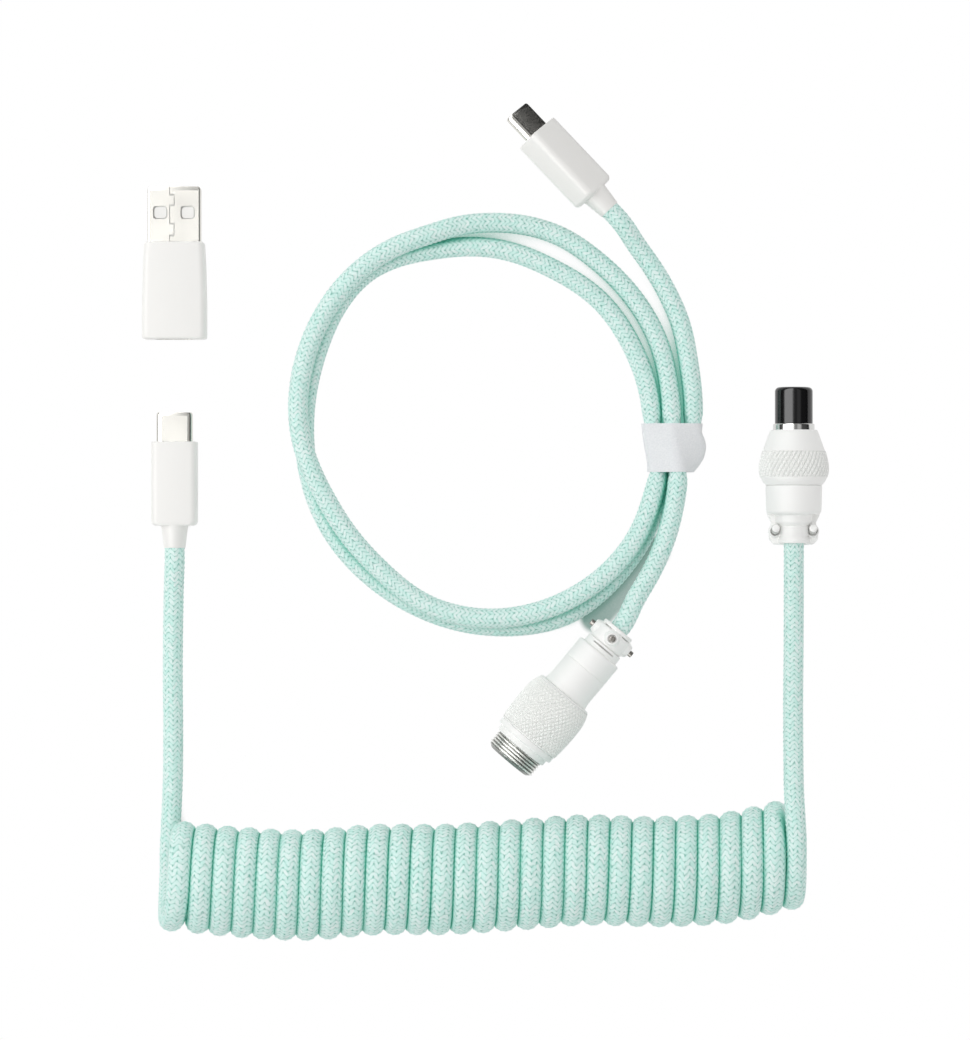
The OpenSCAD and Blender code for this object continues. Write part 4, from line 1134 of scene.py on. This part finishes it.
lip = [
    (5.55, LIP_Y, 0), (7.3, LIP_Y, 0.2), (7.3, LIP_Y + 1.4, 0.25), (6.5, LIP_Y + 1.45, 0.1),
    (6.5, THREAD_Y, 0.35), (5.55, THREAD_Y, 0),
]
middle = [
    (3.5, MID_Y, 0), (5.5, MID_Y, 0.15), (5.5, GRIP_Y - 1.2, 1.0), (5.75, GRIP_Y - 0.02, 0.05),
    (4.85, GRIP_Y - 0.02, 0), (4.85, 14.7, 0), (3.5, 14.7, 0),
]
rear = [
    (0, MID_Y, 0), (5.5, MID_Y, 0.15), (5.5, REAR_Y, 0.9), (4.5, REAR_Y, 0.25), (4.45, 4.9, 0.2), (3.0, 4.85, 0),
    (3.0, 0.95, 0.1), (3.9, 0.9, 0.2), (3.9, 0.0, 0.35), (2.45, 0.0, 0.2), (2.45, 2.0, 0), (0, 2.0, 0),
]
slit = box((-2.75, 5.45, 3.0), (2.75, 5.8, 6.0))
SCREW_ANGLES = (-90, 0, 90)
clamp_end = CLAMP_Y + CLAMP_L + 0.6
clamp_corners = [(3.05, CLAMP_Y, 0), (4.25, CLAMP_Y, 1.0), (4.25, clamp_end, 0.9), (3.05, clamp_end, 0)]
boss_corners = [
    (0, 3.1, 0), (2.3, 3.1, 0), (1.8, 4.1, 0.6), (1.35, 5.1, 0.45), (0.95, 5.1, 0.1), (0.95, 4.6, 0), (0, 4.6, 0)
]
boss = shifted(turned_up(turned(boss_corners, 5, 40)), 0, CLAMP_Y + CLAMP_L / 2, 0)
clamp = joined(turned(clamp_corners, 6), *[turned_about(boss, angle) for angle in SCREW_ANGLES])
on_threaded = partial(build, AT_THREADED, "host_cable")
# The thread's valleys take painted shade
threaded_metal = made_of("threaded_metal", thread_metal, AT_THREADED, 5.72, 6.0)
threaded_pieces = [
    on_threaded(
        "threaded_bright_shell", thread_shape(), threaded_metal, "threaded_shell", slot="polished_metal", sharp=BLUNT
    ),
    on_threaded("threaded_white_lip", turned(lip, 4, 128), WHITE_PAINT, "threaded_lip"),
    build_knurled(
        AT_THREADED, "host_cable", "threaded_knurled_grip", grip_shape(), srgb(236, 238, 235), "threaded_grip"
    ),
    on_threaded("threaded_middle", turned(middle, 4, 128), WHITE_PAINT, "threaded_mid_shell"),
    on_threaded(
        "threaded_rear", turned(rear, 4, 128), WHITE_PAINT, "threaded_rear_shell", cuts=[(slit, WHITE_PAINT)]
    ),
    on_threaded("threaded_cable_clamp", clamp, WHITE_PAINT, "threaded_clamp"),
]
for angle in SCREW_ANGLES:
    top = 5.4 if angle == 0 else 6.0
    screw = shifted(post_shape(3.1, top, 0.7, 0.15, 3), 0, CLAMP_Y + CLAMP_L / 2, 0)
    groove = box((-0.15, 1.5, top - 0.4), (0.15, 4.0, top + 1))
    name = f"threaded_screw_{angle % 360}"
    cuts = [(turned_about(groove, angle), STEEL)]
    nodes = ["threaded_screws"] if angle == SCREW_ANGLES[0] else []
    screw = turned_about(screw, angle)
    threaded_pieces.append(on_threaded(name, screw, STEEL, *nodes, slot="polished_metal", cuts=cuts))


# Inner pieces

# Finishes of the CAD nodes that still show, by the last word of their names
INNER_FINISH = {
    "insulator": WHITE_PLASTIC, "shell": NICKEL, "tongue": BLACK, "insert": BLACK, "contacts": GOLD, "pins": GOLD,
    "board": BOARD, "wires": JACKET, "retainer": POLISHED, "washer": POLISHED,
}
for node_name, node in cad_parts.items():
    finish = INNER_FINISH.get(node_name.split("_")[-1])
    if finish:
        node.data.materials.clear()
        node.data.materials.append(finish)


# Lengths of the host cord and of the strap's cloth


lengths_along(host_line)[-1] * MM
strap_length = strap_line(STRAP_Y, STRAP_ROOM + STRAP_T / 2, 200)[1]


# Desk, light and camera

GAP_REACH = 0.012
# Painted shadow on the desk in the wedge between loop and cord: its ends and reach, in mm
WEDGE_START = (25, -23, 0)
WEDGE_END = (38.5, -8, 0)
WEDGE_REACH = 4.2
DESK_SIDE = 6000.0
DESK_DROP = 0.2
CARD_MIDDLE = (50.0, 133.0)
CARD_SIZE = (110.0, 70.0)
CARD_TURN = 47.3
FILL = 0.73
# Brightness of the studio in reflections, by degrees from overhead towards -X
STUDIO = [
    (-90, 0.06), (-42, 0.08), (-34, 0.6), (-18, 0.6), (-13, 0.25), (2.2, 0.35), (3.2, 1.08), (8, 1.1), (14, 5.0),
    (60, 5.0), (66, 0.3), (90, 0.12),
]
STUDIO_PEAK = 5.0


def wedge_shadow_share(place):
    """Share of the painted shadow in the wedge between loop and cord, by the threaded connector, at a place."""
    start = Vector(WEDGE_START) * MM
    run = Vector(WEDGE_END) * MM - start
    off = reckon_vector("SUBTRACT", place, start)
    along = reckon_vector("DOT_PRODUCT", off, run / run.length_squared)
    held = add_node(place.id_data, "Clamp", {0: along}).outputs[0]
    nearest = add_node(place.id_data, "VectorMath", {0: run, "Scale": held}, operation="SCALE").outputs[0]
    return ranged(reckon_vector("DISTANCE", off, nearest), WEDGE_REACH * MM, 0.6 * WEDGE_REACH * MM)


def white_desk(tree):
    """White desk, also in gloss and through glass, with painted shade only in narrow gaps and a painted shadow in
    the wedge by the threaded connector.
    """
    open_sky = add_node(tree, "AmbientOcclusion", {"Distance": GAP_REACH}, samples=16).outputs["AO"]
    place = add_node(tree, "NewGeometry").outputs["Position"]
    away = reckon_vector("DISTANCE", place, tuple(Vector(LOOP_MIDDLE) * MM))
    # Painted shade in narrow gaps: mint within the loops, grey beyond them
    beyond = ranged(away, 0.05, 0.056, "LINEAR")
    gap_shade_colour = blended(beyond, srgb(92, 168, 148), srgb(150, 160, 157))
    seen_colour = blended(ranged(open_sky, 0.12, 0.36), gap_shade_colour, WHITE)
    # Painted shadow in the wedge by the threaded connector, graded by ambient occlusion
    wedge_shadow_colour = blended(ranged(open_sky, 0.25, 1.05), srgb(100, 140, 129), WHITE)
    seen_colour = blended(wedge_shadow_share(place), seen_colour, wedge_shadow_colour)
    white = add_node(tree, "Emission", {"Color": seen_colour}).outputs[0]
    shaded = tree.nodes["Principled BSDF"].outputs[0]
    ray = add_node(tree, "LightPath").outputs
    shown = reckon("MAXIMUM", ray["Is Glossy Ray"], ray["Is Transmission Ray"])
    shown = reckon("MAXIMUM", ray["Is Camera Ray"], shown)
    feed(tree.nodes["Material Output"], {"Surface": mixed(shown, shaded, white)})
    return {"Base Color": (0.9, 0.9, 0.9, 1.0), "Roughness": 0.9}


def build_world():
    """Even fill light, and a large soft box on the left in reflections."""
    world = bpy.data.worlds.new("studio")
    world.use_nodes = True
    tree = world.node_tree
    tree.nodes.clear()
    way = add_node(tree, "SeparateXYZ", {0: add_node(tree, "TexCoord").outputs["Generated"]}).outputs
    degrees = reckon("DEGREES", reckon("ARCTAN2", times(way[0], -1.0), way[2]))
    ramp = add_node(tree, "ValToRGB", {0: ranged(degrees, -90.0, 90.0, "LINEAR")})
    stops = ramp.color_ramp.elements
    while len(stops) < len(STUDIO):
        stops.new(0.5)
    for stop, (angle, light) in zip(stops, STUDIO):
        stop.position = (angle + 90) / 180
        stop.color = (*[light / STUDIO_PEAK] * 3, 1.0)
    strength = times(ranged(way[2], 0.02, 0.4), STUDIO_PEAK)
    ray = add_node(tree, "LightPath").outputs
    even = add_node(tree, "Background", {0: WHITE, 1: FILL}).outputs[0]
    studio = add_node(tree, "Background", {0: ramp.outputs[0], 1: strength}).outputs[0]
    white = add_node(tree, "Background", {0: WHITE, 1: 1.0}).outputs[0]
    mirrored = mixed(ray["Is Glossy Ray"], even, studio)
    add_node(tree, "OutputWorld", {0: mixed(ray["Is Camera Ray"], mirrored, white)})
    scene.world = world


def add_sheet(name, place, width, length, material):
    """Flat sheet of the studio, laid on the desk."""
    corners = [(a * width / 2, b * length / 2, 0) for a, b in ((-1, -1), (1, -1), (1, 1), (-1, 1))]
    mesh = bpy.data.meshes.new(name)
    mesh.from_pydata([tuple(moved(place, corner) * MM) for corner in corners], [], [(0, 1, 2, 3)])
    return in_scene(name, mesh, material)


build_world()
desk = add_sheet("desk", placed(0, 0, -DESK_DROP), DESK_SIDE, DESK_SIDE, made_of("desk", white_desk))
# The card shows only in gloss: the host plug's metal face reflects it
dull_black = {"Base Color": (0.03, 0.03, 0.03, 1.0), "Roughness": 1.0, "Specular IOR Level": 0.0}
black = made_of("black_card", lambda tree: dull_black)
card = add_sheet("black_card", placed(*CARD_MIDDLE, 0.1, CARD_TURN), *CARD_SIZE, black)
for ray in ("camera", "diffuse", "transmission", "shadow"):
    setattr(card, f"visible_{ray}", False)
key_data = bpy.data.lights.new("key", "AREA")
key = in_scene("key", adjusted(key_data, shape="RECTANGLE", size=0.55, size_y=0.75, energy=1.4))
key.location = (-0.42, 0.16, 0.5)
key.rotation_euler = key.location.to_track_quat("Z", "Y").to_euler()
key.visible_glossy = False

camera = in_scene("camera", adjusted(bpy.data.cameras.new("camera"), lens=137.4, clip_start=0.01))
camera.location = (0.0, -0.0009, 0.9)
scene.camera = camera
